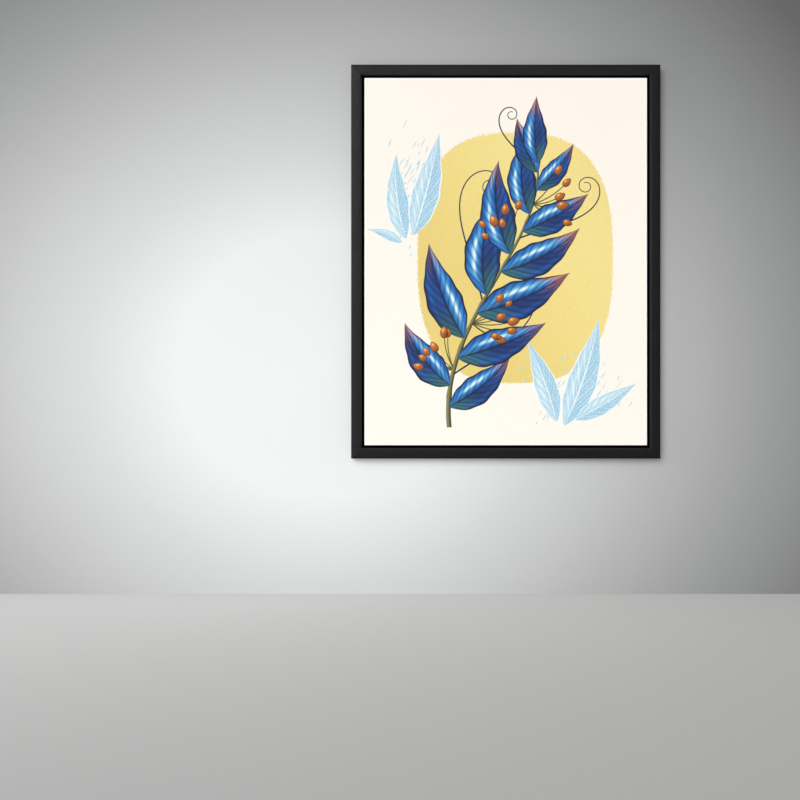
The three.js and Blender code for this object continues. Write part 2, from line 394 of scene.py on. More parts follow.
def tinted(colours: Sequence[str], tone: Array) -> Array:
    """Colours for tones from 0 to 1, blended between evenly spaced ones.

    Args:
        colours: sRGB hex colours, from the tone 0 to the tone 1.
        tone: the tones.

    Returns:
        Linear red, green and blue for each tone.
    """
    stops = np.linspace(0, 1, len(colours))
    shown = np.array([channels(colour) for colour in colours])
    return to_linear(np.stack([np.interp(tone, stops, channel) for channel in shown.T], axis=-1))


def add_node(
    tree: bpy.types.NodeTree, kind: str, inputs: dict | Sequence = (), take: int | str = 0, **settings
) -> Socket | None:
    """Adds a shader node with its settings and links.

    Args:
        tree: the node tree.
        kind: the node's type, without its ShaderNode prefix.
        inputs: sockets to link or values to set, in the inputs' order or by the input's name or number. A
            MapRange has its value first, then the range that comes in and the range that goes out.
        take: the output that is wanted, by name or number.
        settings: the node's own properties, and stops, a colour ramp's (place, hex colour) pairs.

    Returns:
        The wanted output, or None where the node has none.
    """
    node = tree.nodes.new("ShaderNode" + kind)
    for i, (place, colour) in enumerate(settings.pop("stops", ())):
        element = node.color_ramp.elements[i] if i < 2 else node.color_ramp.elements.new(place)
        element.position = place
        element.color = linear(colour)
    for name, value in settings.items():
        setattr(node, name, value)
    for key, value in inputs.items() if isinstance(inputs, dict) else enumerate(inputs):
        if isinstance(value, Socket):
            tree.links.new(value, node.inputs[key])
        else:
            node.inputs[key].default_value = value
    return node.outputs[take] if len(node.outputs) else None


def linked(name: str, data: bpy.types.ID) -> bpy.types.Object:
    """Puts a new object into the scene, at the origin.

    Args:
        name: the object's name.
        data: its mesh, light or camera.

    Returns:
        The object.
    """
    made = bpy.data.objects.new(name, data)
    bpy.context.scene.collection.objects.link(made)
    return made


def make_piece(
    name: str,
    shape: Shape,
    material: bpy.types.Material,
    replaces: Sequence[str] = (),
    sharp: float = 35,
    outward: bool = True,
) -> bpy.types.Object:
    """Makes a shape into a piece that rides on the picture.

    Args:
        name: the piece's name.
        shape: its surface, with any values, which become attributes of the same names.
        material: its finish.
        replaces: the nodes that it stands for.
        sharp: edges that turn by more degrees than this stay sharp.
        outward: whether its normals are worked out again, as a closed shape's are.

    Returns:
        The new object.
    """
    mesh = bpy.data.meshes.new(name)
    mesh.from_pydata(shape.points.tolist(), [], shape.faces)
    for key, values in shape.values.items():
        width = values.shape[1] if values.ndim == 2 else 1
        kind, part = {1: ("FLOAT", "value"), 2: ("FLOAT2", "vector"), 3: ("FLOAT_COLOR", "color")}[width]
        stored = np.concatenate([values, np.ones((len(values), 1))], axis=1) if width == 3 else values
        mesh.attributes.new(key, kind, "POINT").data.foreach_set(part, stored.astype(np.float32).ravel())
    merged = bmesh.new()
    merged.from_mesh(mesh)
    bmesh.ops.remove_doubles(merged, verts=merged.verts, dist=MERGE_DISTANCE)
    if outward:
        bmesh.ops.recalc_face_normals(merged, faces=merged.faces)
    merged.to_mesh(mesh)
    merged.free()
    mesh.shade_smooth()
    mesh.set_sharp_from_angle(angle=math.radians(sharp))
    mesh.materials.append(material)
    piece = linked(name, mesh)
    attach(piece, "root")
    if replaces:
        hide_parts(*replaces)
    LOG.info("%s: %d faces", name, len(mesh.polygons))
    return piece


def dress_node(name: str, material: bpy.types.Material, arris: float) -> None:
    """Gives a node its finish and breaks its sharp edges.

    Args:
        name: the node.
        material: its finish.
        arris: the width of the rounding along its edges.
    """
    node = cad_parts[name]
    node.data.materials.clear()
    node.data.materials.append(material)
    node.modifiers.new("weld", "WELD").merge_threshold = MERGE_DISTANCE
    bevel = node.modifiers.new("arris", "BEVEL")
    bevel.width = arris
    bevel.segments = 2
    bevel.limit_method = "ANGLE"
    bevel.angle_limit = math.radians(40)
    LOG.info("%s: the node's own solid, edges broken", name)


@dataclass(frozen=True)
class Finish:
    """A surface finish. Each kind draws its own pattern and height, and one shader wears them.

    The height is a bump as deep as the relief, and relief_strength is how much of it shows.
    """

    name: str
    roughness: float = 0.5
    ior: float = 1.5
    metallic: float = 0.0
    specular: float = 0.5
    relief: float = 0.1 * MM
    relief_strength: float = 0.5

    def make(self) -> bpy.types.Material:
        """Makes the material, with its pattern on the shader and its height as a bump.

        Returns:
            The new material.
        """
        material = bpy.data.materials.new(self.name)
        material.use_nodes = True
        material.node_tree.nodes.clear()
        add = partial(add_node, material.node_tree)
        drawn = self.draw(add)
        if "Height" in drawn:
            bump = {"Height": drawn.pop("Height"), "Distance": self.relief, "Strength": self.relief_strength}
            drawn["Normal"] = add("Bump", bump)
        inputs = {"Roughness": self.roughness, "Metallic": self.metallic}
        if not self.metallic:
            inputs |= {"IOR": self.ior, "Specular IOR Level": self.specular}
        add("OutputMaterial", {"Surface": add("BsdfPrincipled", inputs | drawn)})
        return material

    def draw(self, add: Adder) -> Drawn:
        """Draws the pattern.

        Args:
            add: adds a node.

        Returns:
            The shader's inputs that the pattern drives, and its Height where it has one.
        """
        raise NotImplementedError


def grain_space(add: Adder, grain: Grain, offset: float = 0.0) -> Socket:
    """Object coordinates turned so that x runs along the grain.

    Args:
        add: adds a node.
        grain: the way the grain runs.
        offset: how far the pattern is slid, so that two lengths of wood differ.

    Returns:
        The turned vector.
    """
    turn = 0.0 if grain is Grain.ALONG_X else QUARTER
    place = add("TexCoord", take="Object")
    return add("Mapping", {"Vector": place, "Location": (offset,) * 3, "Rotation": (0.0, turn, 0.0)})


def weave_relief(add: Adder, thread: float, slub: float) -> Socket:
    """Relief of a plain weave: sin(pi x / thread) times sin(pi z / thread), uneven where a yarn is thicker.

    Args:
        add: adds a node.
        thread: the distance from yarn to yarn.
        slub: how far apart thick yarns lie.

    Returns:
        The height.
    """
    place = add("TexCoord", take="Object")
    parts = add("SeparateXYZ", (place,)).node.outputs
    waves, thick = [], []
    for axis, stretch in (("X", (1.0, 1.0, 0.05)), ("Z", (0.05, 1.0, 1.0))):
        yarns = add("Mapping", {"Vector": place, "Scale": stretch})
        thick.append(add("TexNoise", {"Vector": yarns, "Scale": 1 / slub, "Detail": 3.0}))
        turns = add("Math", (parts[axis], math.pi / thread), operation="MULTIPLY")
        waves.append(add("Math", (turns,), operation="SINE"))
    crossing = add("Math", waves, operation="MULTIPLY")
    uneven = add("Math", thick, operation="ADD")
    return add("Math", (uneven, 2.0, crossing), operation="MULTIPLY_ADD")


@dataclass(frozen=True)
class BlackLacquer(Finish):
    """Satin black lacquer on open-pored hardwood: near black, pores along the grain, a soft sheen."""

    roughness: float = 0.45
    specular: float = 0.17
    relief: float = 0.2 * MM
    relief_strength: float = 0.9
    grain: Grain = Grain.ALONG_X
    offset: float = 0.0
    film: str = "#0d0d0e"
    pore: str = "#030303"
    pore_width: float = 1.2 * MM
    pore_stretch: float = 0.045
    clouds_per_metre: float = 9.0
    gloss_swing: float = 0.06

    def draw(self, add: Adder) -> Drawn:
        """Draws pores, twice their real width so that they show, and a faint unevenness of gloss.

        Args:
            add: adds a node.

        Returns:
            The shader's inputs that the pattern drives, and its Height.
        """
        place = grain_space(add, self.grain, self.offset)
        drawn = add("Mapping", {"Vector": place, "Scale": (self.pore_stretch, 1.0, 1.0)})
        pores = add("TexNoise", {"Vector": drawn, "Scale": 1 / self.pore_width, "Detail": 4.0})
        whole = add("MapRange", (pores, 0.37, 0.46, 0.0, 1.0))
        colour = add("Mix", {0: whole, 6: linear(self.pore), 7: linear(self.film)}, **BLEND)
        cloud = add("TexNoise", {"Vector": place, "Scale": self.clouds_per_metre, "Detail": 3.0})
        swing = (self.roughness - self.gloss_swing, self.roughness + self.gloss_swing)
        gloss = add("MapRange", (cloud, 0.0, 1.0, *swing))
        return {"Base Color": colour, "Roughness": gloss, "Height": whole}


@dataclass(frozen=True)
class MatteBlackPaint(Finish):
    """Brushed-on matte black paint on the ledges and the gap's lining, set darker and deader than paint, so
    that it also paints the deep shade of the gap round the canvas.
    """

    roughness: float = 0.8
    specular: float = 0.05
    relief_strength: float = 0.4
    paint: str = "#040404"
    peel_crest: str = "#080808"
    stroke: float = 3 * MM

    def draw(self, add: Adder) -> Drawn:
        """Draws a low, even orange peel, with painted shade that darkens its hollows and leaves its crests
        paler.

        Args:
            add: adds a node.

        Returns:
            The shader's inputs that the pattern drives, and its Height.
        """
        place = add("TexCoord", take="Object")
        peel = add("TexNoise", {"Vector": place, "Scale": 1 / self.stroke, "Detail": 2.0})
        # Paler on the crests of the peel and darker in its hollows: painted shade.
        colour = add("ValToRGB", (peel,), stops=((0.3, self.paint), (0.7, self.peel_crest)))
        return {"Base Color": colour, "Height": peel}


@dataclass(frozen=True)
class PlanedPine(Finish):
    """Planed pine: pale yellow wood with darker late-wood lines that wander along the length."""

    roughness: float = 0.62
    relief: float = 0.15 * MM
    grain: Grain = Grain.ALONG_X
    offset: float = 0.0
    early: str = "#e6c99a"
    middle: str = "#d9b683"
    late: str = "#b98a55"
    knot: str = "#8a5730"
    ring: float = 6 * MM
    fibre: float = 0.8 * MM
    stretch: float = 0.07
    knots_per_metre: float = 3.1

    def draw(self, add: Adder) -> Drawn:
        """Draws growth rings as warped bands across the grain, fibres, and a knot here and there.

        Args:
            add: adds a node.

        Returns:
            The shader's inputs that the pattern drives, and its Height.
        """
        place = grain_space(add, self.grain, self.offset)
        long = add("Mapping", {"Vector": place, "Scale": (self.stretch, 1.0, 1.0)})
        warp = {"Distortion": 13.0, "Detail": 3.0, "Detail Scale": 0.42, "Detail Roughness": 0.5}
        bands = add(
            "TexWave", {"Vector": long, "Scale": 0.314 / self.ring} | warp, take="Fac", bands_direction="Z"
        )
        years = add("TexNoise", {"Vector": long, "Scale": 0.45 / self.ring, "Detail": 2.0})
        strength = add("MapRange", (years, 0.35, 0.65, 0.35, 1.0))
        rings = add("Math", (bands, strength), operation="MULTIPLY")
        wood = add("ValToRGB", (rings,), stops=((0.2, self.early), (0.65, self.middle), (0.92, self.late)))
        fibres = add("TexNoise", {"Vector": long, "Scale": 1 / self.fibre, "Detail": 5.0})
        fine = add("MapRange", (fibres, 0.3, 0.7, 0.88, 1.06))
        shaded = add("Mix", {0: 1.0, 6: wood, 7: fine}, **SHADE)
        drawn_out = add("Mapping", {"Vector": place, "Scale": (0.6, 1.0, 1.0)})
        cells = add("TexVoronoi", {"Vector": drawn_out, "Scale": self.knots_per_metre})
        knot = add("MapRange", (cells, 0.015, 0.06, 0.75, 0.0))
        knotted = add("Mix", {0: knot, 6: shaded, 7: linear(self.knot)}, **BLEND)
        return {"Base Color": knotted, "Height": fibres}


@dataclass(frozen=True)
class SawnBeech(Finish):
    """Beech of the corner keys: pinkish tan with short dark flecks along the grain."""

    roughness: float = 0.6
    relief_strength: float = 0.4
    grain: Grain = Grain.ALONG_X
    body: str = "#cfa673"
    fleck: str = "#a8794c"
    fleck_width: float = 0.7 * MM

    def draw(self, add: Adder) -> Drawn:
        """Draws the flecks as noise that is stretched along the grain.

        Args:
            add: adds a node.

        Returns:
            The shader's inputs that the pattern drives, and its Height.
        """
        long = add("Mapping", {"Vector": grain_space(add, self.grain), "Scale": (0.22, 1.0, 1.0)})
        flecks = add("TexNoise", {"Vector": long, "Scale": 1 / self.fleck_width})
        colour = add("ValToRGB", (flecks,), stops=((0.38, self.fleck), (0.5, self.body)))
        return {"Base Color": colour, "Height": flecks}


@dataclass(frozen=True)
class PrimedCanvas(Finish):
    """Primed and printed cotton canvas: a matte cream ground, with a white rim where the print ends.

    Real yarns lie 0.6 mm apart. They are drawn coarser, so that the weave shows from a step away.
    """

    roughness: float = 0.85
    ground: str = "#f6eee3"
    primer: str = "#f7f7f4"
    thread: float = 1.6 * MM
    slub: float = 5 * MM
    printed: Rectangle = Rectangle(0.7, 0.9)
    printed_depth: float = 3 * MM
    centre_z: float = 0.0
    front: float = 0.0

    def draw(self, add: Adder) -> Drawn:
        """Draws the ground inside the printed rectangle and primer outside it, over a weave.

        Args:
            add: adds a node.

        Returns:
            The shader's inputs that the pattern drives, and its Height.
        """
        place = add("TexCoord", take="Object")
        centred = add("Mapping", {"Vector": place, "Location": (0.0, -self.front, -self.centre_z)})
        x, y, z = add("SeparateXYZ", (centred,)).node.outputs
        off_x, off_z = (add("Math", (part,), operation="ABSOLUTE") for part in (x, z))
        limits = (
            (off_x, self.printed.half_width),
            (off_z, self.printed.half_height),
            (y, self.printed_depth),
        )
        printed, *others = [add("Math", limit, operation="LESS_THAN") for limit in limits]
        for other in others:
            printed = add("Math", (printed, other), operation="MULTIPLY")
        colour = add("Mix", {0: printed, 6: linear(self.primer), 7: linear(self.ground)}, **BLEND)
        return {"Base Color": colour, "Height": weave_relief(add, self.thread, self.slub)}


@dataclass(frozen=True)
class RawCanvas(Finish):
    """The unprimed back of the cotton: oatmeal yarns, uneven in thickness, and darker where the weave lies
    low, which is painted shade.
    """

    roughness: float = 0.9
    relief: float = 0.2 * MM
    relief_strength: float = 0.6
    pale: str = "#ded3ba"
    dark: str = "#b7a67f"
    thread: float = 1.6 * MM
    slub: float = 4 * MM

    def draw(self, add: Adder) -> Drawn:
        """Draws the weave in relief, with painted shade that darkens its hollows and thin yarns.

        Args:
            add: adds a node.

        Returns:
            The shader's inputs that the pattern drives, and its Height.
        """
        height = weave_relief(add, self.thread, self.slub)
        # The colour follows the weave's height: painted shade where it lies low.
        level = add("MapRange", (height, 0.6, 3.2, 0.0, 1.0))
        colour = add("ValToRGB", (level,), stops=((0.1, self.dark), (0.8, self.pale)))
        return {"Base Color": colour, "Height": height}


@dataclass(frozen=True)
class PrintedInk(Finish):
    """Pigment ink on the canvas: matte, broken by the weave, and grainy like a stone print."""

    roughness: float = 0.8
    ground: str = "#f6eee3"
    thread: float = 1.6 * MM
    slub: float = 5 * MM
    speck: float = 5 * MM
    break_up: float = 0.5
    veins: float = 0.0
    vein_ink: str = "#0a1b42"
    sweep: float = 0.28

    def draw(self, add: Adder) -> Drawn:
        """Mixes the ink kept at the points with bare ground where cover is low, and adds a leaf's veins.

        Args:
            add: adds a node.

        Returns:
            The shader's inputs that the pattern drives, and its Height.
        """
        ink = add("Attribute", attribute_name="ink", take="Color")
        cover = add("Attribute", attribute_name="cover", take="Fac")
        grit = {"Scale": 1 / self.speck, "Detail": 6.0, "Roughness": 0.75}
        specks = add("TexNoise", {"Vector": add("TexCoord", take="Object")} | grit)
        tooth = add("MapRange", (specks, 0.32, 0.68, 0.0, 1.0))
        if self.veins:
            ink = self.veined(add, ink)
        shade = add("MapRange", (tooth, 0.0, 1.0, 1.0 - 0.4 * self.break_up, 1.0 + 0.3 * self.break_up))
        grained = add("Mix", {0: 1.0, 6: ink, 7: shade}, **SHADE)
        edge = add("Math", (cover, tooth), operation="SUBTRACT")
        laid = add("MapRange", (edge, -0.06, 0.06, 0.0, 1.0))
        colour = add("Mix", {0: laid, 6: linear(self.ground), 7: grained}, **BLEND)
        return {"Base Color": colour, "Height": weave_relief(add, self.thread, self.slub)}

    def veined(self, add: Adder, ink: Socket) -> Socket:
        """Draws vein ink along a leaf's midrib, side veins and margin, and darkens the blade beside a vein.

        A side vein lies where veins * (along - sweep * |across|) is a whole number.

        Args:
            add: adds a node.
            ink: the leaf's colour.

        Returns:
            The veined colour.
        """
        marks = add("Attribute", attribute_name="marks", take="Vector")
        along, across, _ = add("SeparateXYZ", (marks,)).node.outputs
        off = add("Math", (across,), operation="ABSOLUTE")
        swept = add("Math", (off, -self.sweep, along), operation="MULTIPLY_ADD")
        phase = add("Math", (swept, self.veins), operation="MULTIPLY")
        saw = add("Math", (phase, 0.5), operation="PINGPONG")
        side = add("MapRange", (saw, 0.0, 0.1, 0.8, 0.0))
        rise = add("MapRange", (saw, 0.1, 0.5, 0.8, 1.2))
        rib = add("MapRange", (off, 0.03, 0.08, 0.95, 0.0))
        margin = add("MapRange", (off, 0.86, 0.92, 0.0, 1.0))
        lines = add("Math", (side, rib), operation="MAXIMUM")
        drawn = add("Math", (lines, margin), operation="MAXIMUM")
        quilted = add("Mix", {0: 1.0, 6: ink, 7: rise}, **SHADE)
        return add("Mix", {0: drawn, 6: quilted, 7: linear(self.vein_ink)}, **BLEND)


@dataclass(frozen=True)
class SatinMetal(Finish):
    """Bare metal: extruded aluminium has fine lines along it, and plated steel has a cloudy skin."""

    metallic: float = 1.0
    relief: float = 0.03 * MM
    relief_strength: float = 0.4
    bright: str = "#c9cbce"
    dull: str = "#a3a6aa"
    line: float = 0.9 * MM
    bands_per_metre: float = 60.0
    gloss_swing: float = 0.12
    stretch: Place = (0.03, 1.0, 1.0)

    def draw(self, add: Adder) -> Drawn:
        """Draws lines in gloss and relief, and bands of a duller tone that are drawn out the same way.

        Args:
            add: adds a node.

        Returns:
            The shader's inputs that the pattern drives, and its Height.
        """
        drawn = add("Mapping", {"Vector": add("TexCoord", take="Object"), "Scale": self.stretch})
        lines = add("TexNoise", {"Vector": drawn, "Scale": 1 / self.line, "Detail": 3.0})
        bands = add("TexNoise", {"Vector": drawn, "Scale": self.bands_per_metre, "Detail": 3.0})
        colour = add("ValToRGB", (bands,), stops=((0.35, self.dull), (0.65, self.bright)))
        swing = (self.roughness - self.gloss_swing, self.roughness + self.gloss_swing)
        gloss = add("MapRange", (lines, 0.0, 1.0, *swing))
        return {"Base Color": colour, "Roughness": gloss, "Height": lines}


@dataclass(frozen=True)
class MouldedRubber(Finish):
    """Black moulded rubber with a fine spark-eroded skin."""

    roughness: float = 0.8
    relief: float = 0.08 * MM
    body: str = "#1b1b1c"
    pimple_hollow_shade: str = "#131314"
    pimple: float = 0.6 * MM

    def draw(self, add: Adder) -> Drawn:
        """Draws the skin's pimples, with painted shade that darkens their hollows.

        Args:
            add: adds a node.

        Returns:
            The shader's inputs that the pattern drives, and its Height.
        """
        place = add("TexCoord", take="Object")
        pimples = add("TexNoise", {"Vector": place, "Scale": 1 / self.pimple, "Detail": 2.0})
        # Darker where the skin lies low: painted shade in the hollows.
        colour = add("ValToRGB", (pimples,), stops=((0.3, self.pimple_hollow_shade), (0.7, self.body)))
        return {"Base Color": colour, "Height": pimples}


@dataclass(frozen=True)
class GradedPaper(Finish):
    """Matte paper toned as a ramp over the distance from one place. On the backdrop it is a painted pool of
    light, palest about that place and greyer in rings away from it.
    """

    tones: tuple[tuple[float, str], ...] = ((0.0, "#dcdcda"), (1.0, "#dcdcda"))
    palest: Place = (0.0, 0.0, 0.0)
    spread: Place = (4.0, 4.0, 4.0)

    def draw(self, add: Adder) -> Drawn:
        """Draws the tone as a ramp over the distance from the palest place, in spreads.

        Args:
            add: adds a node.

        Returns:
            The shader's input that the tone drives.
        """
        off = add("VectorMath", (add("TexCoord", take="Object"), self.palest), operation="SUBTRACT")
        shares = add("VectorMath", (off, self.spread), operation="DIVIDE")
        far = add("VectorMath", (shares,), take="Value", operation="LENGTH")
        return {"Base Color": add("ValToRGB", (far,), stops=self.tones)}


@dataclass
class FloaterFrame:
    """The four mitred mouldings of the frame and the ledges behind the canvas."""

    layout: Layout
    outer_radius: float = 5 * MM
    chamfer: float = 7 * MM
    arris: float = 0.8 * MM
    seat_radius: float = 0.1 * MM
    back_radius: float = 1.5 * MM
    mitre_gap: float = 0.3 * MM
    mitre_groove: float = 0.3 * MM
    ledge_arris: float = 0.5 * MM
    grain_shift: float = 0.37
    # A paler lacquer for the inner chamfer: a painted highlight, as if the bevel caught the light all round.
    chamfer_highlight_film: str = "#2d2d2e"
    chamfer_highlight_pore: str = "#161616"

    def section(self) -> Array:
        """The moulding's outline, anticlockwise, with each corner rounded by its own radius.

        Returns:
            Points as (inward, depth).
        """
        at = self.layout
        seat, rebate = at.ledge_front - self.mitre_gap, at.rebate - self.mitre_gap
        corners = {
            (0.0, at.frame_back): self.back_radius,
            (0.0, at.frame_front): self.outer_radius,
            (at.frame_face - self.chamfer, at.frame_front): self.arris,
            (at.frame_face, at.frame_front + self.chamfer): self.arris,
            (at.frame_face, seat): self.arris,
            (rebate, seat): self.seat_radius,
            (rebate, at.frame_back): self.arris,
        }
        return rounded(list(corners), list(corners.values()), steps=7)

    def moulding(self, side: Side) -> Shape:
        """One length of moulding: the section carried along the side and cut at the mitre planes.

        At a mitre a point's reach along the side is the frame's half length less its distance inward. The
        last ring is drawn in, so that the joint shows as a fine groove.

        Args:
            side: the side of the frame.

        Returns:
            The closed solid.
        """
        outline = self.section()
        drawn_in = inset(outline, self.mitre_groove)
        rings = []
        for end, ring in ((-1, drawn_in), (-1, outline), (1, outline), (1, drawn_in)):
            back = self.mitre_gap / math.sqrt(2) + (self.mitre_groove if ring is outline else 0.0)
            reach = self.layout.outer.along(side) - ring[:, 0] - back
            rings.append(placed_on(side, self.layout, end * reach, ring[:, 0], ring[:, 1]))
        return stacked(np.array(rings))

    def build(self) -> None:
        """Builds the mouldings and dresses the ledges."""
        # The ledges' own black, deepened into painted shade for the gap round the canvas.
        paint = MatteBlackPaint("near_black_paint_gap_shade").make()
        for i, side in enumerate(Side):
            lacquer = BlackLacquer(
                f"satin_black_lacquer_{side.label}", grain=side.grain, offset=self.grain_shift * i
            )
            # The chamfer's paler lacquer is a painted highlight.
            chamfer_highlight = replace(
                lacquer,
                name=f"black_lacquer_painted_highlight_{side.label}",
                film=self.chamfer_highlight_film,
                pore=self.chamfer_highlight_pore,
            )
            moulding = make_piece(
                f"moulding_{side.label}",
                self.moulding(side),
                lacquer.make(),
                replaces=[f"frame_rail_{side.label}"],
                sharp=50,
            )
            self.finish_inner_edge(moulding, side, paint, chamfer_highlight.make())
            dress_node(f"frame_ledge_{side.label}", paint, self.ledge_arris)

    def finish_inner_edge(
        self, moulding: bpy.types.Object, side: Side, paint: bpy.types.Material, chamfer_highlight: bpy.types.Material
    ) -> None:
        """Paints the faces that line the gap and the rebate as the ledges are, near black for the gap's
        painted shade, and gives the chamfer a paler lacquer, a painted highlight.

        Args:
            moulding: the length of moulding.
            side: the side that it lies on.
            paint: the ledges' paint.
            chamfer_highlight: the chamfer's paler finish, a painted highlight.
        """
        mesh = moulding.data
        mesh.materials.append(paint)
        mesh.materials.append(chamfer_highlight)
        middles = np.empty(3 * len(mesh.polygons))
        mesh.polygons.foreach_get("center", middles)
        x, y, z = middles.reshape(-1, 3).T
        in_x, in_z = side.value[2]
        inward = self.layout.outer.across(side) + in_x * x + in_z * (z - self.layout.centre_z)
        deep = y > self.layout.frame_front + self.chamfer + MM
        # The faces that line the gap take the near-black paint: their own black, deepened into painted
        # shade.
        lining = (inward > self.layout.rebate - MM) & deep
        # The chamfer's faces take the paler lacquer: a painted highlight.
        chamfer = (inward > self.layout.frame_face - self.chamfer) & ~deep
        mesh.polygons.foreach_set("material_index", (lining + 2 * chamfer).astype(np.int32))


@dataclass
class Stretcher:
    """The pine bars and braces and the beech keys in their corners."""

    arris: float = 0.8 * MM
    key_arris: float = 0.4 * MM
    grain_start: float = 0.2
    grain_shift: float = 0.61
    brace_grain: float = 3.3

    def build(self) -> None:
        """Dresses the stretcher's nodes, each with the grain along its own length."""
        for i, side in enumerate(Side):
            shift = self.grain_start + self.grain_shift * i
            pine = PlanedPine(f"planed_pine_{side.label}", grain=side.grain, offset=shift)
            dress_node(f"stretcher_bar_{side.label}", pine.make(), self.arris)
        for name, grain in (("brace_horizontal", Grain.ALONG_X), ("brace_vertical", Grain.ALONG_Z)):
            pine = PlanedPine(f"planed_pine_{name}", grain=grain, offset=self.brace_grain)
            dress_node(name, pine.make(), self.arris)
        beech = {grain: SawnBeech(f"sawn_beech_{grain.value}", grain=grain).make() for grain in Grain}
        for name in sorted(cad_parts):
            if name.startswith("corner_key_"):
                beside = Side[name.split("_")[2].upper()]
                dress_node(name, beech[beside.grain], self.key_arris)


@dataclass
class Cloth:
    """The canvas: one sheet over the front, which rolls round the bars and ends in a flap behind them."""

    layout: Layout
    thickness: float = 0.7 * MM
    edge_radius: float = 2.5 * MM
    back_radius: float = 2 * MM
    white_rim: float = 8 * MM
    fine_step: float = 3.5 * MM
    fine_reach: float = 49 * MM
    coarse_step: float = 15 * MM
    corner_points: int = 5
    roll_points: int = 6
    side_points: int = 9
    flap_points: int = 10
    sag: float = 0.8 * MM
    crease: float = 0.25 * MM
    crease_reach: float = 110 * MM
    creases: int = 9
    rim_fade: float = 60.0
    tuck: float = 0.7 * MM
    tuck_start: float = 2 * MM
    tuck_slope: float = 0.9
    tuck_edge: Pair = (-MM, 1.5 * MM)
    tuck_rise: float = 6 * MM
    fold: float = 0.7 * MM
    fold_reach: float = 33 * MM
    fold_clear: float = 0.6 * MM
    fold_short: float = 1.5 * MM
    fold_sunk: float = 0.05 * MM
    fold_root: float = 0.3 * MM
    mitre_points: int = 14
    bend_points: int = 5
    thin_points: int = 12
    wander: float = 0.9 * MM

    def slack(self, x: Array, z: Array) -> Array:
        """How far the cloth lies behind its flat plane.

        It is a shallow bowl, (1 - u^2)(1 - v^2) of the sag, plus creases that fan out from each corner, as
        1 + cos(n a) of the angle there, and die away along an exponential.

        Args:
            x: places across, from the canvas's centre.
            z: places up, from the canvas's centre.

        Returns:
            The distance towards the wall at each place.
        """
        half = self.layout.canvas.grown(-self.edge_radius)
        u, v = np.abs(x) / half.half_width, np.abs(z) / half.half_height
        bowl = np.clip(1 - u * u, 0, 1) * np.clip(1 - v * v, 0, 1)
        to_side, to_end = half.half_width - np.abs(x), half.half_height - np.abs(z)
        fan = np.cos(self.creases * np.arctan2(to_end, to_side))
        fade = np.exp(-np.hypot(to_side, to_end) / self.crease_reach)
        fade = fade * np.clip((1 - np.maximum(u, v)) * self.rim_fade, 0, 1)
        return self.sag * bowl + self.crease * (1 + fan) * fade

    def shares(self, half: float) -> Array:
        """Places along a side, close together near both ends.

        Args:
            half: half the side's length.

        Returns:
            Shares of the half length, from -1 to 1.
        """
        fine = np.arange(0, self.fine_reach, self.fine_step)
        middle = half - self.fine_reach
        coarse = np.linspace(-middle, middle, round(2 * middle / self.coarse_step))
        return np.concatenate([fine - half, coarse, half - fine[::-1]]) / half

    def loop(self, half: Rectangle, radius: float, across: Array, up: Array) -> Array:
        """A closed loop round a rectangle with round corners, anticlockwise from the lower left.

        The straight stretches are cut at the given shares, and each corner is a quarter circle.

        Args:
            half: the rectangle.
            radius: the corner radius.
            across: shares along the level sides.
            up: shares along the upright sides.

        Returns:
            Points as (x, z).
        """
        straight = half.grown(-radius)
        w, h = half.half_width, half.half_height
        level, upright = across[1:-1] * straight.half_width, up[1:-1] * straight.half_height
        sides = (as_points(level, -h), as_points(w, upright), as_points(-level, h), as_points(-w, -upright))
        turn = np.linspace(0, QUARTER, self.corner_points)
        parts = []
        for i, (right, high) in enumerate(((1, -1), (1, 1), (-1, 1), (-1, -1))):
            middle = (right * straight.half_width, high * straight.half_height)
            parts += [sides[i], middle + radius * toward(turn + (i - 1) * QUARTER)]
        return np.concatenate(parts)

    def wrap(self, across: Array, up: Array) -> Shape:
        """The cloth from the edge of the front, round the bars, to the cut edge of the flap.

        Stations of (distance in from the canvas's edge, corner radius, depth) follow a quarter circle, the
        side, a second quarter circle and the flap, and each carries one loop. On the top and the bottom a
        tuck lies over the side beyond a line that slants back from near the front corner.

        Args:
            across: shares along the level sides.
            up: shares along the upright sides.

        Returns:
            The open surface, facing inwards.
        """
        at, r, b = self.layout, self.edge_radius, self.back_radius
        sine, cosine = toward(np.linspace(0, QUARTER, self.roll_points)).T[::-1]
        roll = as_points(r * (1 - sine), r * sine, at.canvas_front + r * (1 - cosine))
        side = as_points(0.0, r, np.linspace(at.canvas_front + r, at.flap_back - b, self.side_points)[1:])
        turn = as_points(b * (1 - cosine), r * cosine, at.flap_back - b * (1 - sine))[1:]
        flap = as_points(np.linspace(b, at.flap_edge, self.flap_points)[1:], 0.0, at.flap_back)
        rings = []
        for back, radius, depth in np.concatenate([roll, side, turn, flap]):
            x, z = self.loop(at.canvas.grown(-back), radius, across, up).T
            if back == at.flap_edge:
                x, z = self.cut_edge(x, z)
            on_side = at.canvas.half_height - np.abs(z) < MM
            reach = max(depth - at.canvas_front, 0.0)
            line = np.abs(x) - at.canvas.half_width + self.tuck_slope * reach + self.tuck_start
            past = smooth(*self.tuck_edge, line)
            lift = self.tuck * past * on_side * smooth(0, self.tuck_rise, reach) * (radius > 0)
            rings.append(as_points(x, depth, z + np.sign(z) * lift + at.centre_z))
        return surface(np.array(rings), wrap=True)

    def cut_edge(self, x: Array, z: Array) -> tuple[Array, Array]:
        """The flap's edge as hand shears leave it: each point wanders in or out by the sum of two sines.

        Args:
            x: places across, from the canvas's centre.
            z: places up, from the canvas's centre.

        Returns:
            The new places, as x and z.
        """
        turn = full_turn(len(x))
        wave = np.sin(23 * turn) + 0.6 * np.sin(57 * turn + 1)
        by = 1 + self.wander * wave / np.maximum(np.abs(x), np.abs(z))
        return x * by, z * by

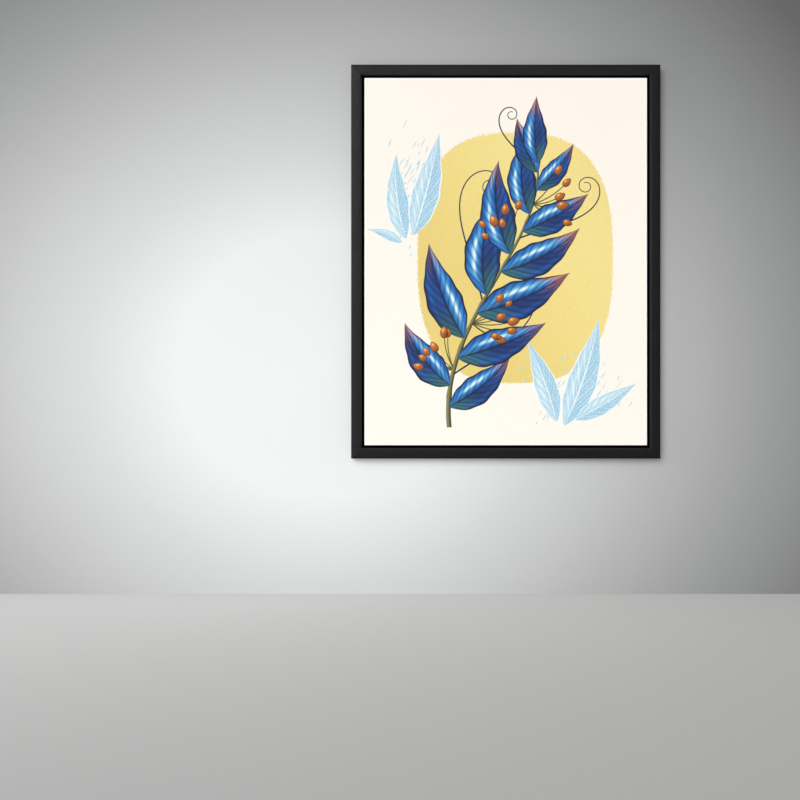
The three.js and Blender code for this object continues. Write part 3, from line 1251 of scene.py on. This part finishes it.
    def corner_folds(self) -> Shape:
        """The doubled cloth at the corners, where a side's flap is laid over the level one along the mitre.

        Its edge is a quarter circle one fold high, off = f (1 - cos a), high = f sin a, and from there it
        thins to nothing along the side. It starts clear of the ledge.

        Returns:
            The four closed folds.
        """
        at = self.layout
        start = at.ledge_edge - (at.outer.half_width - at.canvas.half_width) + self.fold_clear
        mitre = np.linspace(start, at.flap_edge - self.fold_short, self.mitre_points)[:, None]
        bend = np.linspace(0, QUARTER, self.bend_points)
        along = np.linspace(self.fold, self.fold_reach, self.thin_points)[1:]
        off = np.concatenate([self.fold * (1 - np.cos(bend)), along])[None, :]
        thin = self.fold * (1 - smooth(self.fold, self.fold_reach, along))
        high = np.concatenate([self.fold * np.sin(bend), thin])[None, :]
        folds = []
        for right, up in CORNERS:
            x = right * (at.canvas.half_width - mitre)
            z = at.centre_z + up * (at.canvas.half_height - mitre - off)
            top, foot = at.flap_back + high - self.fold_sunk, at.flap_back - self.fold_root
            folds.append(skin(as_points(x, top, z), as_points(x, foot, z)))
        return Shape.joined(folds)

    def front(self, across: Array, up: Array) -> Shape:
        """The printed face: a grid over the front, each point set back by the cloth's slack.

        Args:
            across: shares along the level sides.
            up: shares along the upright sides.

        Returns:
            The open surface.
        """
        half = self.layout.canvas.grown(-self.edge_radius)
        x, z = np.meshgrid(across * half.half_width, up * half.half_height)
        return surface(as_points(x, self.layout.canvas_front + self.slack(x, z), z + self.layout.centre_z))

    def build(self) -> tuple[bpy.types.Object, bpy.types.Object]:
        """Builds the sheet, with its primed face outside and raw cotton inside, and its corner folds.

        Returns:
            The cloth and the folds.
        """
        half = self.layout.canvas.grown(-self.edge_radius)
        across, up = self.shares(half.half_width), self.shares(half.half_height)
        wrap = self.wrap(across, up)
        wrap.faces = [face[::-1] for face in wrap.faces]
        primed = PrimedCanvas(
            "primed_printed_canvas",
            printed=self.layout.canvas.grown(-self.white_rim),
            centre_z=self.layout.centre_z,
            front=self.layout.canvas_front,
        ).make()
        cloth = make_piece(
            "stretched_canvas",
            Shape.joined([self.front(across, up), wrap]),
            primed,
            replaces=["canvas_front"] + [f"canvas_turn_{side.label}" for side in Side],
            sharp=60,
            outward=False,
        )
        cloth.data.materials.append(RawCanvas("raw_cotton_canvas").make())
        solid = cloth.modifiers.new("thickness", "SOLIDIFY")
        solid.thickness = self.thickness
        solid.offset = -1.0
        solid.material_offset = solid.material_offset_rim = 1
        return cloth, make_piece("canvas_corner_folds", self.corner_folds(), primed)


@dataclass
class Staples:
    """The steel staples that hold the flap to the bars."""

    layout: Layout
    crown: float = 11 * MM
    leg: float = 4 * MM
    thick: float = 0.6 * MM
    wide: float = 1.2 * MM
    inset: float = 29 * MM
    spacing: float = 58 * MM
    end_space: float = 62 * MM
    jitter: tuple[float, float, float] = (2.5 * MM, 0.5 * MM, math.radians(5))

    def staple(self) -> Array:
        """One staple about its crown's middle, as two rings of its U outline.

        Returns:
            Rings x points x (along, out of the flap, across).
        """
        a, b, t = self.crown / 2 + self.thick / 2, self.crown / 2 - self.thick / 2, self.thick
        square, inner, outer = 1e-6, 0.3 * MM, 0.8 * MM
        corners = {
            (-a, -self.leg): square, (-b, -self.leg): square, (-b, 0.0): inner, (b, 0.0): inner,
            (b, -self.leg): square, (a, -self.leg): square, (a, t): outer, (-a, t): outer,
        }
        outline = rounded(list(corners), list(corners.values()), steps=3)
        return np.array([as_points(*outline.T, across) for across in (-self.wide / 2, self.wide / 2)])

    def build(self) -> bpy.types.Object:
        """Sets staples along the four flaps, each a little askew as a hand gun leaves them.

        Returns:
            All the staples as one piece.
        """
        rng = np.random.default_rng(SEED)
        along, out, across = np.moveaxis(self.staple(), -1, 0)
        shapes = []
        for side in Side:
            reach = self.layout.canvas.along(side) - self.end_space
            gap = self.layout.outer.across(side) - self.layout.canvas.across(side)
            for middle in np.linspace(-reach, reach, round(2 * reach / self.spacing) + 1):
                shift, slip, turn = rng.normal(0, self.jitter)
                a = along * math.cos(turn) - across * math.sin(turn) + middle + shift
                d = along * math.sin(turn) + across * math.cos(turn) + gap + self.inset + slip
                shapes.append(stacked(placed_on(side, self.layout, a, d, out + self.layout.flap_back)))
        wire = SatinMetal("galvanised_staple_wire", roughness=0.38, bright="#b7babd", dull="#8f9296")
        return make_piece("canvas_staples", Shape.joined(shapes), wire.make())


@dataclass(frozen=True)
class Screw:
    """A countersunk wood screw with a cross recess. Its head faces +Y."""

    head: float
    shank: float
    length: float
    rim: float = 0.4 * MM
    dome: float = 0.25 * MM
    recess: float = 1.5 * MM
    arm_share: float = 0.58
    facets: int = 40

    def shape(self, x: float, y: float, z: float, turn: float) -> Shape:
        """The screw as a turned surface, with the cross pressed into its head.

        Height over the head is a low dome, less the recess where the point lies within an arm: an arm's half
        width and its depth both shrink with the distance from the middle.

        Args:
            x: place of the head.
            y: depth of the head's rim.
            z: height of the head.
            turn: the angle of the cross.

        Returns:
            The closed surface.
        """
        arm = self.arm_share * self.head
        # The tip, the point, the foot of the countersink, and the head's rounded rim.
        below = (
            (0.0, -self.length),
            (0.3 * self.shank, -self.length + 0.3 * MM),
            (self.shank, -self.length + 3 * self.shank),
            (self.shank, self.shank - self.head - self.rim),
            (self.head - 0.05 * MM, -self.rim),
            (self.head, -0.6 * self.rim),
            (self.head, -0.1 * MM),
            (self.head - 0.1 * MM, 0.0),
        )
        inwards = np.concatenate([np.linspace(self.head - 0.3 * MM, arm, 4)[:-1], np.linspace(arm, 0, 10)])
        stations = np.concatenate([below, as_points(inwards, 0.0)])
        radius, height = stations[:, :1], stations[:, 1:]
        top = np.arange(len(stations))[:, None] >= len(below)
        height = height + top * self.dome * (1 - (radius / self.head) ** 2)
        angle = full_turn(self.facets)
        spread = radius * np.minimum(np.abs(np.sin(angle)), np.abs(np.cos(angle)))
        half_arm = (0.32 - 0.12 * radius / arm) * arm
        pressed = smooth(0.0, 0.18 * arm, half_arm - spread) * smooth(0.0, 0.12, 1 - radius / arm)
        depth = self.recess * (1 - 0.55 * radius / arm) * pressed * top
        return turned(x, z, radius[:, 0], y + height - depth, angle + turn)


@dataclass
class BackHardware:
    """What is fixed to the back: screws, corner brackets, the hanging rail and the bumpers."""

    layout: Layout
    canvas_screw: Screw = Screw(4.2 * MM, 2 * MM, 30 * MM)
    rail_screw: Screw = Screw(4.2 * MM, 2 * MM, 32 * MM)
    bracket_screw: Screw = Screw(3.4 * MM, 1.5 * MM, 16 * MM, recess=1.2 * MM)
    bracket_width: float = 18 * MM
    bracket_corner: float = 3 * MM
    bracket_edge: float = 0.35 * MM
    bracket_gap: float = 0.3 * MM
    bracket_thickness: float = 2 * MM
    bracket_holes: Pair = (58 * MM, 92 * MM)
    screw_proud: float = 0.4 * MM
    rail_arris: float = 0.4 * MM
    bumper_shoulder: float = 3 * MM
    bumper_edge: float = 0.3 * MM
    bumper_dimple: float = 0.4 * MM
    bumper_facets: int = 56
    shoulder_points: int = 8
    dimple_points: int = 7

    def screws(self, steel: bpy.types.Material) -> None:
        """Replaces each single screw by one with a cross in its head.

        Args:
            steel: the screws' finish.
        """
        rng = np.random.default_rng(SEED)
        kinds = {"canvas_screw": self.canvas_screw, "rail_screw": self.rail_screw}
        for name in sorted(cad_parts):
            kind = kinds.get("_".join(name.split("_")[:2]))
            if kind:
                low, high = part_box(name)
                middle = (low + high) / 2
                shape = kind.shape(middle.x, high.y, middle.z, rng.uniform(0, QUARTER))
                make_piece(f"cross_{name}", shape, steel, replaces=[name])

    def bracket(self, right: int, high: int, length: float) -> Shape:
        """One corner bracket with its four screws.

        The L outline is carried through stations of (inset, depth), so that its edges are broken.

        Args:
            right: 1 for the right-hand corners, -1 for the left.
            high: 1 for the upper corners, -1 for the lower.
            length: how long each of its legs is.

        Returns:
            The closed plate and screws.
        """
        at = self.layout
        middle = at.frame_face / 2
        first = middle - self.bracket_width / 2
        second, end = first + self.bracket_width, first + length
        corners = (
            (first, first), (end, first), (end, second),
            (second, second), (second, end), (first, end),
        )
        r, edge = self.bracket_corner, self.bracket_edge
        outline = rounded(corners, [2 * r, r, r, r, r, r], steps=6)
        front = at.frame_back + self.bracket_gap
        back = front + self.bracket_thickness

        def mirrored(across: Array | float, up: Array | float) -> tuple[Array | float, Array | float]:
            """Distances inward from the frame's edges as x and z at this corner."""
            return right * (at.outer.half_width - across), at.centre_z + high * (at.outer.half_height - up)

        rings = []
        for by, depth in ((edge, front), (0.0, front + edge), (0.0, back - edge), (edge, back)):
            x, z = mirrored(*inset(outline, by).T)
            rings.append(as_points(x, depth, z))
        shapes = [stacked(np.array(rings))]
        rng = np.random.default_rng(SEED + 2 * right + high)
        for hole in self.bracket_holes:
            for across, up in ((hole, middle), (middle, hole)):
                x, z = mirrored(across, up)
                turn = rng.uniform(0, QUARTER)
                shapes.append(self.bracket_screw.shape(x, back + self.screw_proud, z, turn))
        return Shape.joined(shapes)

    def bumper(self, name: str) -> Shape:
        """A rubber bumper, turned about Y, with a rounded shoulder and a shallow dimple.

        Args:
            name: the node that it stands for.

        Returns:
            The closed surface.
        """
        low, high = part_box(name)
        middle = (low + high) / 2
        radius, shoulder, edge = (high.x - low.x) / 2, self.bumper_shoulder, self.bumper_edge
        bend = np.linspace(0, QUARTER, self.shoulder_points)
        inwards = np.linspace(0, 1, self.dimple_points)[1:]
        foot = ((0.0, low.y), (radius - edge, low.y), (radius, low.y + edge))
        crown = as_points(radius - shoulder * (1 - np.cos(bend)), high.y - shoulder * (1 - np.sin(bend)))
        dimple = as_points((radius - shoulder) * (1 - inwards), high.y - self.bumper_dimple * inwards ** 2)
        r, y = np.concatenate([foot, crown, dimple]).T
        return turned(middle.x, middle.z, r, y, full_turn(self.bumper_facets))

    def build(self) -> None:
        """Builds and dresses all the hardware."""
        plated = SatinMetal(
            "zinc_plated_steel", roughness=0.36, bright="#cdd0d3", dull="#a9acb0", stretch=(1.0, 1.0, 1.0)
        )
        steel = replace(plated, name="bright_screw_steel", roughness=0.3, bright="#c6c8cb", dull="#a2a5a9")
        rail = SatinMetal("extruded_aluminium", roughness=0.42, bright="#c4c7c9", dull="#aeb1b4")
        zinc, rubber = plated.make(), MouldedRubber("moulded_rubber").make()
        self.screws(steel.make())
        dress_node("hanging_rail", rail.make(), self.rail_arris)
        for right, high in CORNERS:
            corner = f"{'top' if high > 0 else 'bottom'}_{'right' if right > 0 else 'left'}"
            node = f"corner_bracket_{corner}"
            low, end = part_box(node)
            shape = self.bracket(right, high, end.x - low.x)
            make_piece(f"bracket_plate_{corner}", shape, zinc, replaces=[node])
        for node in ("bumper_left", "bumper_right"):
            make_piece(f"rubber_{node}", self.bumper(node), rubber, replaces=[node])


@dataclass(frozen=True)
class Film:
    """One shape of ink: a grid of places on the cloth, from its centre, and what is kept at each place.

    Inks are linear colours, cover is how whole the ink lies, and marks are two coordinates on the shape.
    """

    places: Array
    inks: Array
    marks: Array
    cover: Array | float = 1.2
    wrap: bool = False
    sunk: float = 0.05 * MM

    def shape(self, cloth: Cloth, lift: float) -> Shape:
        """The ink as a closed film, which follows the cloth's slack.

        Args:
            cloth: the cloth that it lies on.
            lift: how thick it lies.

        Returns:
            The film, its foot a little way into the cloth.
        """
        x, z = np.moveaxis(self.places, -1, 0)
        ground = cloth.layout.canvas_front + cloth.slack(x, z)
        z = z + cloth.layout.centre_z
        shape = skin(as_points(x, ground - lift, z), as_points(x, ground + self.sunk, z), self.wrap)
        shape.values = {
            "ink": np.tile(self.inks.reshape(-1, 3), (2, 1)),
            "cover": np.tile(np.broadcast_to(self.cover, x.shape).ravel(), 2),
            "marks": np.tile(self.marks.reshape(-1, 2), (2, 1)),
        }
        return shape


class Palette(Enum):
    """The inks of the design, each from its darkest to its lightest."""

    BLUE = ("#081a42", "#0c2c63", "#104a92", "#1a63ae", "#2c80c4", "#5ca9dc", "#cfeaf8")
    PALE_BLUE = ("#86bcd9", "#a9d3e6", "#cfe6f0")
    TEAL = ("#1f4d4b", "#3e7a6e", "#86ad8d")
    RUST = ("#3a1a0c", "#8c4a1f", "#cf772b", "#f3c98a")
    OLIVE = ("#2a2818", "#575330", "#8d8a52", "#c6bd82")
    GOLD = ("#dfc671", "#e9d27f", "#efdb8d")
    NAVY = ("#0a1a3e", "#16356e")

    def at(self, tone: Array) -> Array:
        """The ink for each tone, from 0 at its darkest to 1."""
        return tinted(self.value, tone)


def heading_path(start: Array, heading: Array, length: float) -> Array:
    """Points of a line that starts at a place and follows headings, in equal steps of its length."""
    moves = toward((heading[1:] + heading[:-1]) / 2) * (length / (len(heading) - 1))
    return start + np.concatenate([[[0.0, 0.0]], np.cumsum(moves, axis=0)])


@dataclass(frozen=True)
class Leaf:
    """A long leaf: a midrib that bends evenly, and a blade that is widest below its middle."""

    base: Pair
    heading: float
    length: float
    width: float
    bend: float = 0.0
    rust: float = 0.5
    inks: Palette = Palette.BLUE
    cover: float = 1.2
    rows: int = 48
    columns: int = 25

    def film(self) -> Film:
        """The leaf's grid: along from base to tip, across from margin to margin.

        The half width is a sine of the share along, raised so that the tip is drawn out, with a slight wave
        in the margin.

        Returns:
            The film.
        """
        t, s = np.linspace(0, 1, self.rows), np.linspace(-1, 1, self.columns)
        heading = self.heading + self.bend * t
        rib = heading_path(np.array(self.base), heading, self.length)
        half = self.width / 2 * np.sin(math.pi * t ** 0.72) ** 1.15
        half = half * (1 + 0.035 * np.sin(29 * t + 7 * self.heading))
        places = rib[:, None] + (half[:, None] * s)[..., None] * toward(heading + QUARTER)[:, None]
        u, s = t[:, None], s[None, :]
        lit = np.sign(toward(self.heading + QUARTER) @ LIGHT) or 1.0
        return Film(places, self.painted(u, s * lit), as_points(u, s), self.cover)

    def painted(self, u: Array, q: Array) -> Array:
        """The leaf's inks.

        The half that faces the light is paler, with a bright band and a fine streak down its middle, and the
        other half has a faint rim of light. A blue leaf has a teal foot and a ragged rusty tip.

        Args:
            u: the share along.
            q: the share across, positive towards the light.

        Returns:
            Linear colours.
        """
        band = bell(q, 0.5, 0.26) * np.sin(math.pi * u) ** 0.6
        streak = bell(q, 0.46, 0.1) * smooth(0.12, 0.3, u) * smooth(0.68, 0.45, u)
        rim = bell(q, -0.7, 0.12) * np.sin(math.pi * u)
        tone = 0.38 + 0.13 * np.sign(q) + 0.3 * band + 0.3 * streak + 0.16 * rim - 0.18 * bell(q, 0.06, 0.1)
        tone = tone - 0.16 * np.abs(q) ** 4 + 0.06 * np.sin(9 * u + 3 * q + 5 * self.heading)
        inks = self.inks.at(tone)
        if self.inks is Palette.BLUE:
            foot = 0.85 * smooth(0.42, 0.04, u) * smooth(0.7, -0.5, q)
            tip = self.rust * smooth(0.66, 0.95, u + 0.07 * np.sin(8 * q + 11 * self.heading))
            inks = inks + (Palette.TEAL.at(tone + 0.1) - inks) * foot[..., None]
            inks = inks + (Palette.RUST.at(tone + 0.2) - inks) * tip[..., None]
        return inks


@dataclass(frozen=True)
class Stroke:
    """A drawn line of changing width, such as a stem or a tendril."""

    path: Array
    widths: Array
    inks: Palette
    cover: float = 1.2

    def film(self, columns: int = 3) -> Film:
        """The line's grid: along its path, and across it to half its width on either side.

        Its tone falls from the side that faces the light to the other, as on a round rod.

        Args:
            columns: points across.

        Returns:
            The film.
        """
        ahead = np.gradient(self.path, axis=0)
        ahead /= np.linalg.norm(ahead, axis=1, keepdims=True)
        side = np.stack([-ahead[:, 1], ahead[:, 0]], axis=1)
        s = np.linspace(-1, 1, columns)
        places = self.path[:, None] + (self.widths[:, None] / 2 * s)[..., None] * side[:, None]
        q = s * np.sign(side @ LIGHT)[:, None]
        along = np.linspace(0, 1, len(self.path))[:, None]
        tone = 0.5 + 0.4 * q - 0.45 * np.abs(q) ** 3
        return Film(places, self.inks.at(tone), as_points(along, s), self.cover)


@dataclass(frozen=True)
class Pod:
    """A rounded seed pod with a highlight towards the light."""

    centre: Array
    radius: float
    heading: float
    slim: float = 0.78
    rings: int = 9
    facets: int = 28

    def film(self) -> Film:
        """The pod's grid: rings about its middle, drawn out to a point along its heading.

        A ring's reach is rho cos a along the heading, a little more on the side of the point, and rho sin a
        across it, narrowed. The shine is a bell about a place half way towards the light.

        Returns:
            The film.
        """
        rho = np.linspace(0, 1, self.rings)[:, None]
        angle = full_turn(self.facets)[None, :]
        along = rho * np.cos(angle) * (1 + 0.28 * np.clip(np.cos(angle), 0, 1) ** 5)
        across = rho * np.sin(angle) * self.slim
        c, s = math.cos(self.heading), math.sin(self.heading)
        turned_out = as_points(along * c - across * s, along * s + across * c)
        to_light = angle + self.heading - math.radians(120)
        facing = rho * np.cos(to_light)
        shine = np.exp(-((facing - 0.5) ** 2 + (rho * np.sin(to_light)) ** 2) / 0.07)
        tone = 0.5 + 0.24 * facing + 0.4 * shine - 0.5 * smooth(0.8, 1.0, rho)
        marks = as_points(rho, angle / math.pi)
        return Film(self.centre + self.radius * turned_out, Palette.RUST.at(tone), marks, wrap=True)


@dataclass
class Design:
    """The print: a blue-leaved branch with rust pods before a grainy gold panel, on the cream ground."""

    cloth: Cloth
    panel_centre: Pair = (0.05, 0.02)
    panel_half: Pair = (0.53, 0.68)
    panel_power: float = 2.7
    panel_facets: int = 220
    stem: tuple[Pair, ...] = ((-0.3, -0.88), (-0.36, -0.3), (0.2, 0.06), (0.17, 0.52))
    leaf_places: Array = field(default_factory=lambda: np.linspace(0.1, 0.93, 6))
    stem_points: int = 90
    tendril_points: int = 120
    stalk_points: int = 12
    dash_points: int = 6
    dashes_each: int = 70
    first_lift: float = 0.06 * MM
    step: float = 0.03 * MM

    def panel(self) -> Film:
        """The gold panel: rings of a superellipse, |x/a|^n + |z/b|^n = 1. Its edge breaks up into grain.

        Returns:
            The film.
        """
        rho = np.concatenate([np.linspace(0, 0.88, 8), np.linspace(0.9, 1, 9)])[:, None]
        angle = full_turn(self.panel_facets)[None, :]
        c, s, n = np.cos(angle), np.sin(angle), self.panel_power
        reach = (np.abs(c) ** n + np.abs(s) ** n) ** (-1 / n)
        x = self.panel_centre[0] + self.panel_half[0] * rho * reach * c
        z = self.panel_centre[1] + self.panel_half[1] * rho * reach * s
        inks = Palette.GOLD.at(0.55 + 0.35 * np.sin(3 * x + 2 * z))
        cover = 1.35 * smooth(1.01, 0.94, rho) - 0.1
        return Film(as_points(x, z), inks, as_points(rho, angle), cover, wrap=True)

    def stem_at(self, t: Array | float) -> tuple[Array, Array]:
        """The main stem: (1-t)^3 a + 3(1-t)^2 t b + 3(1-t) t^2 c + t^3 d, a cubic curve of four points.

        Args:
            t: shares along the curve.

        Returns:
            The places there and the headings.
        """
        a, b, c, d = np.array(self.stem)
        t = np.asarray(t)[..., None]
        place = (1 - t) ** 3 * a + 3 * (1 - t) ** 2 * t * b + 3 * (1 - t) * t ** 2 * c + t ** 3 * d
        ahead = (1 - t) ** 2 * (b - a) + 2 * (1 - t) * t * (c - b) + t ** 2 * (d - c)
        return place, np.arctan2(ahead[..., 1], ahead[..., 0])

    def leaves(self) -> list[Film]:
        """The branch's leaves, in pairs that shrink and close up towards the tip, with one at the end.

        Returns:
            The films.
        """
        rng = np.random.default_rng(SEED)
        films = []
        for t, share in zip(self.leaf_places, np.linspace(0, 1, len(self.leaf_places))):
            for way in (-1, 1):
                place, heading = self.stem_at(t + 0.035 * way)
                spread = math.radians(66 - 28 * share) + rng.normal(0, 0.07)
                length = 0.44 + 0.14 * math.sin(math.pi * share ** 0.8) - 0.11 * share
                length *= rng.uniform(0.94, 1.06)
                width = length * rng.uniform(0.35, 0.4)
                bend, rust = -way * rng.uniform(0.3, 0.8), rng.uniform(0.3, 1.0)
                films.append(Leaf(place, float(heading) + way * spread, length, width, bend, rust).film())
        place, heading = self.stem_at(1.0)
        return films + [Leaf(place, float(heading) + 0.1, 0.36, 0.13, bend=-0.3, rust=0.8).film()]

    def far_leaves(self) -> list[Film]:
        """Two sprays of pale leaves behind the branch, as a thin wash, by place, heading and length.

        Returns:
            The films.
        """
        rng = np.random.default_rng(SEED + 1)
        right = ((0.31, -0.87, 64, 0.6), (0.37, -0.84, 28, 0.38), (0.27, -0.85, 104, 0.46))
        left = ((-0.53, 0.12, 108, 0.46), (-0.49, 0.14, 72, 0.56), (-0.55, 0.1, 145, 0.2))
        wash = {"inks": Palette.PALE_BLUE, "cover": 0.72}
        return [
            Leaf((x, z), math.radians(turn), length, 0.27 * length, rng.uniform(-0.5, 0.5), **wash).film()
            for x, z, turn, length in right + left
        ]

    def dashes(self) -> list[Film]:
        """Short pale strokes that scatter round the far leaves, as from a dry brush.

        Returns:
            The films.
        """
        rng = np.random.default_rng(SEED + 2)
        swell = np.sin(np.linspace(0.02, math.pi - 0.02, self.dash_points))
        films = []
        for middle, spread in (((0.38, -0.72), (0.26, 0.2)), ((-0.52, 0.4), (0.14, 0.3))):
            for _ in range(self.dashes_each):
                start = middle + rng.normal(0, 0.45, 2) * spread
                heading = np.full(self.dash_points, math.radians(62) + rng.normal(0, 0.12))
                path = heading_path(start, heading, rng.uniform(0.02, 0.065))
                films.append(Stroke(path, rng.uniform(3, 6.5) * MM * swell, Palette.PALE_BLUE, 0.8).film())
        return films

    def main_stem(self) -> Film:
        """The main stem, which thins towards its tip, with a swelling at each pair of leaves.

        Returns:
            The film.
        """
        t = np.linspace(0, 1, self.stem_points)
        widths = (26 - 17 * t) * MM + sum(6 * MM * bell(t, node, 0.012) for node in self.leaf_places)
        return Stroke(self.stem_at(t)[0], widths, Palette.OLIVE).film(9)

    def pods(self) -> tuple[list[Film], list[Film]]:
        """Clusters of pods on short stalks, which start a little way out from the stem's middle line.

        Returns:
            The stalks and the pods.
        """
        rng = np.random.default_rng(SEED + 3)
        stalks, pods = [], []
        for t, way, count in ((0.19, 1, 6), (0.36, -1, 7), (0.66, 1, 6), (0.84, -1, 5)):
            place, heading = self.stem_at(t)
            for fan in np.linspace(-0.7, 0.7, count):
                angle = float(heading) + way * (1.35 + fan) + rng.normal(0, 0.06)
                length = rng.uniform(0.11, 0.21)
                bend = np.linspace(angle, angle - way * 0.5, self.stalk_points)
                path = heading_path(place + 3 * MM * toward(angle), bend, length)
                widths = np.linspace(7, 5, self.stalk_points) * MM
                stalks.append(Stroke(path, widths, Palette.OLIVE).film())
                radius = rng.uniform(19, 30) * MM
                pods.append(Pod(path[-1] + 0.8 * radius * toward(bend[-1]), radius, float(bend[-1])).film())
        return stalks, pods

    def tendrils(self) -> list[Film]:
        """Fine dark tendrils that leave the stem and curl up at their ends, by place, way, length and curl.

        Returns:
            The films.
        """
        share = np.linspace(0, 1, self.tendril_points)
        films = []
        for t, way, length, curl in (
            (0.17, -1, 1.0, 9.0), (0.44, 1, 1.15, 9.5), (0.7, -1, 0.85, 10.0), (0.97, 1, 0.62, 9.5)
        ):
            place, heading = self.stem_at(t)
            bend = float(heading) + way * (0.75 + 0.35 * share - curl * share ** 4)
            path = heading_path(place, bend, length)
            films.append(Stroke(path, (9 - 5 * share) * MM, Palette.NAVY).film())
        return films

    def build(self) -> list[bpy.types.Object]:
        """Lays the inks in order, each a step above the one before.

        Returns:
            The pieces of ink.
        """
        plain = PrintedInk("pigment_ink").make()
        gold = PrintedInk("grainy_gold_ink", speck=9 * MM, break_up=0.24).make()
        wash = PrintedInk("thin_blue_wash", speck=6 * MM, break_up=0.2, veins=7.0, vein_ink="#e8f2f6").make()
        dash = PrintedInk("dry_brush_ink", speck=4 * MM, break_up=0.2).make()
        veined = PrintedInk("veined_leaf_ink", veins=9.0, break_up=0.45).make()
        stalks, pods = self.pods()
        layers = (
            ("print_arch", [self.panel()], gold),
            ("print_dashes", self.dashes(), dash),
            ("print_far_leaves", self.far_leaves(), wash),
            ("print_tendrils", self.tendrils(), plain),
            ("print_stalks", stalks, plain),
            ("print_stem", [self.main_stem()], plain),
            ("print_leaves", self.leaves(), veined),
            ("print_pods", pods, plain),
        )
        lift, pieces = self.first_lift, []
        for name, films, ink in layers:
            rise = self.step if name.endswith("leaves") else 0.0
            lifts = [lift + rise * i for i in range(len(films))]
            shape = Shape.joined([film.shape(self.cloth, high) for film, high in zip(films, lifts)])
            pieces.append(make_piece(name, shape, ink, sharp=80))
            lift = lifts[-1] + self.step
        return pieces


def turn_towards(way: Sequence[float]) -> Euler:
    """The turn that makes a light shine along a direction."""
    return Vector(way).to_track_quat("-Z", "Y").to_euler()


@dataclass(frozen=True)
class SoftLight:
    """A square softbox."""

    name: str
    place: Place
    aim: Place
    size: float
    power: float

    def build(self) -> None:
        """Hangs the light and turns it towards its aim."""
        lamp = bpy.data.lights.new(self.name, "AREA")
        lamp.shape = "SQUARE"
        lamp.size = self.size
        lamp.energy = self.power
        holder = linked(self.name, lamp)
        holder.location = self.place
        holder.rotation_euler = turn_towards(Vector(self.aim) - Vector(self.place))


@dataclass
class Studio:
    """The pale room: a floor, a backdrop with an opening behind the picture, soft lights and the camera."""

    layout: Layout
    floor_z: float = -2.779
    reach: float = 7.0
    height: float = 3.2
    wall_gap: float = 0.5 * MM
    opening_inset: float = 12 * MM
    lens: float = 45.0
    sensor: float = 36.0
    eye: Place = (-0.417, -5.363, -1.629)
    shift: Pair = (-0.034, -0.0256)
    key_way: Place = (0.42, 1.0, -0.36)
    key_power: float = 2.68
    key_spread: float = math.radians(45)
    sky: str = "#f2f5fa"
    sky_power: float = 0.2

    def backdrop(self) -> None:
        """The wall, as the ring between its own edge and the opening, so that the back shows from behind."""
        top, foot = self.height, self.floor_z
        edge = Rectangle(self.reach, (top - foot) / 2).corners((top + foot) / 2)
        hole = self.layout.outer.grown(-self.opening_inset).corners(self.layout.centre_z)
        points = [(x, self.wall_gap, z) for x, z in edge + hole]
        faces = [[i, (i + 1) % 4, 4 + (i + 1) % 4, 4 + i] for i in range(4)]
        # The backdrop's tones are a painted pool of light: palest to the left of the picture and greyer in
        # rings away from it.
        tones = (
            (0.0, "#e4e5e5"), (0.2, "#e0e1e1"), (0.325, "#c7c8c8"), (0.475, "#ababab"),
            (0.543, "#9d9d9d"), (0.603, "#909191"), (0.81, "#5f5f5e"), (1.0, "#4f4f4e"),
        )
        paper = GradedPaper(
            "backdrop_paper_painted_light_pool", roughness=0.9, tones=tones, palest=(-0.95, 0, -1.55), spread=(4, 4, 3.6)
        )
        self.stage("backdrop", points, faces, paper)

    def floor(self) -> None:
        """The floor, a plain pale plane."""
        r, z = self.reach, self.floor_z
        points = [(-r, -r - 2, z), (r, -r - 2, z), (r, r, z), (-r, r, z)]
        self.stage("floor", points, [[0, 1, 2, 3]], GradedPaper("pale_floor_paper", roughness=0.7))

    def stage(self, name: str, points: list[Place], faces: list[list[int]], paper: Finish) -> None:
        """Makes a flat stage piece.

        Args:
            name: the piece's name.
            points: its points.
            faces: its faces.
            paper: its finish.
        """
        mesh = bpy.data.meshes.new(name)
        mesh.from_pydata(points, [], faces)
        mesh.materials.append(paper.make())
        linked(name, mesh)

    def lights(self) -> None:
        """Sets a broad key from the upper left, a weak sky, a softbox at each side and two at the back."""
        sun = bpy.data.lights.new("key", "SUN")
        sun.energy = self.key_power
        sun.angle = self.key_spread
        linked("key", sun).rotation_euler = turn_towards(self.key_way)
        SoftLight("window", (-5.0, -1.3, -0.6), (0.0, -0.1, -1.0), 2.6, 60.0).build()
        SoftLight("right_wall", (5.2, -1.3, -0.9), (0.8, 0.0, -1.0), 3.0, 30.0).build()
        SoftLight("behind_left", (-3.0, 4.8, 0.6), (0.0, 0.0, -1.0), 4.2, 76.0).build()
        SoftLight("behind_right", (3.4, 4.2, -0.6), (0.0, 0.0, -1.0), 4.0, 78.0).build()
        world = bpy.data.worlds.new("studio")
        bpy.context.scene.world = world
        world.use_nodes = True
        background = world.node_tree.nodes["Background"].inputs
        background["Color"].default_value = linear(self.sky)
        background["Strength"].default_value = self.sky_power

    def camera(self) -> None:
        """Sets the camera at the photograph's place, looking straight at the wall."""
        camera = bpy.data.cameras.new("camera")
        camera.lens = self.lens
        camera.sensor_width = self.sensor
        camera.shift_x, camera.shift_y = self.shift
        holder = linked("camera", camera)
        holder.location = self.eye
        holder.rotation_euler = (QUARTER, 0.0, 0.0)
        bpy.context.scene.camera = holder

    def build(self) -> None:
        """Sets the stage."""
        self.camera()
        self.floor()
        self.backdrop()
        self.lights()
        bpy.context.scene.view_settings.view_transform = "Standard"


def main() -> None:
    """Builds the stage, then the picture from the frame inwards."""
    logging.basicConfig(level=logging.INFO, format="%(name)s: %(message)s")
    layout = Layout.from_frame()
    Studio(layout).build()
    FloaterFrame(layout).build()
    Stretcher().build()
    cloth = Cloth(layout)
    sheet, folds = cloth.build()
    staples = Staples(layout).build()
    inks = Design(cloth).build()
    BackHardware(layout).build()


if __name__ == "__main__":
    main()
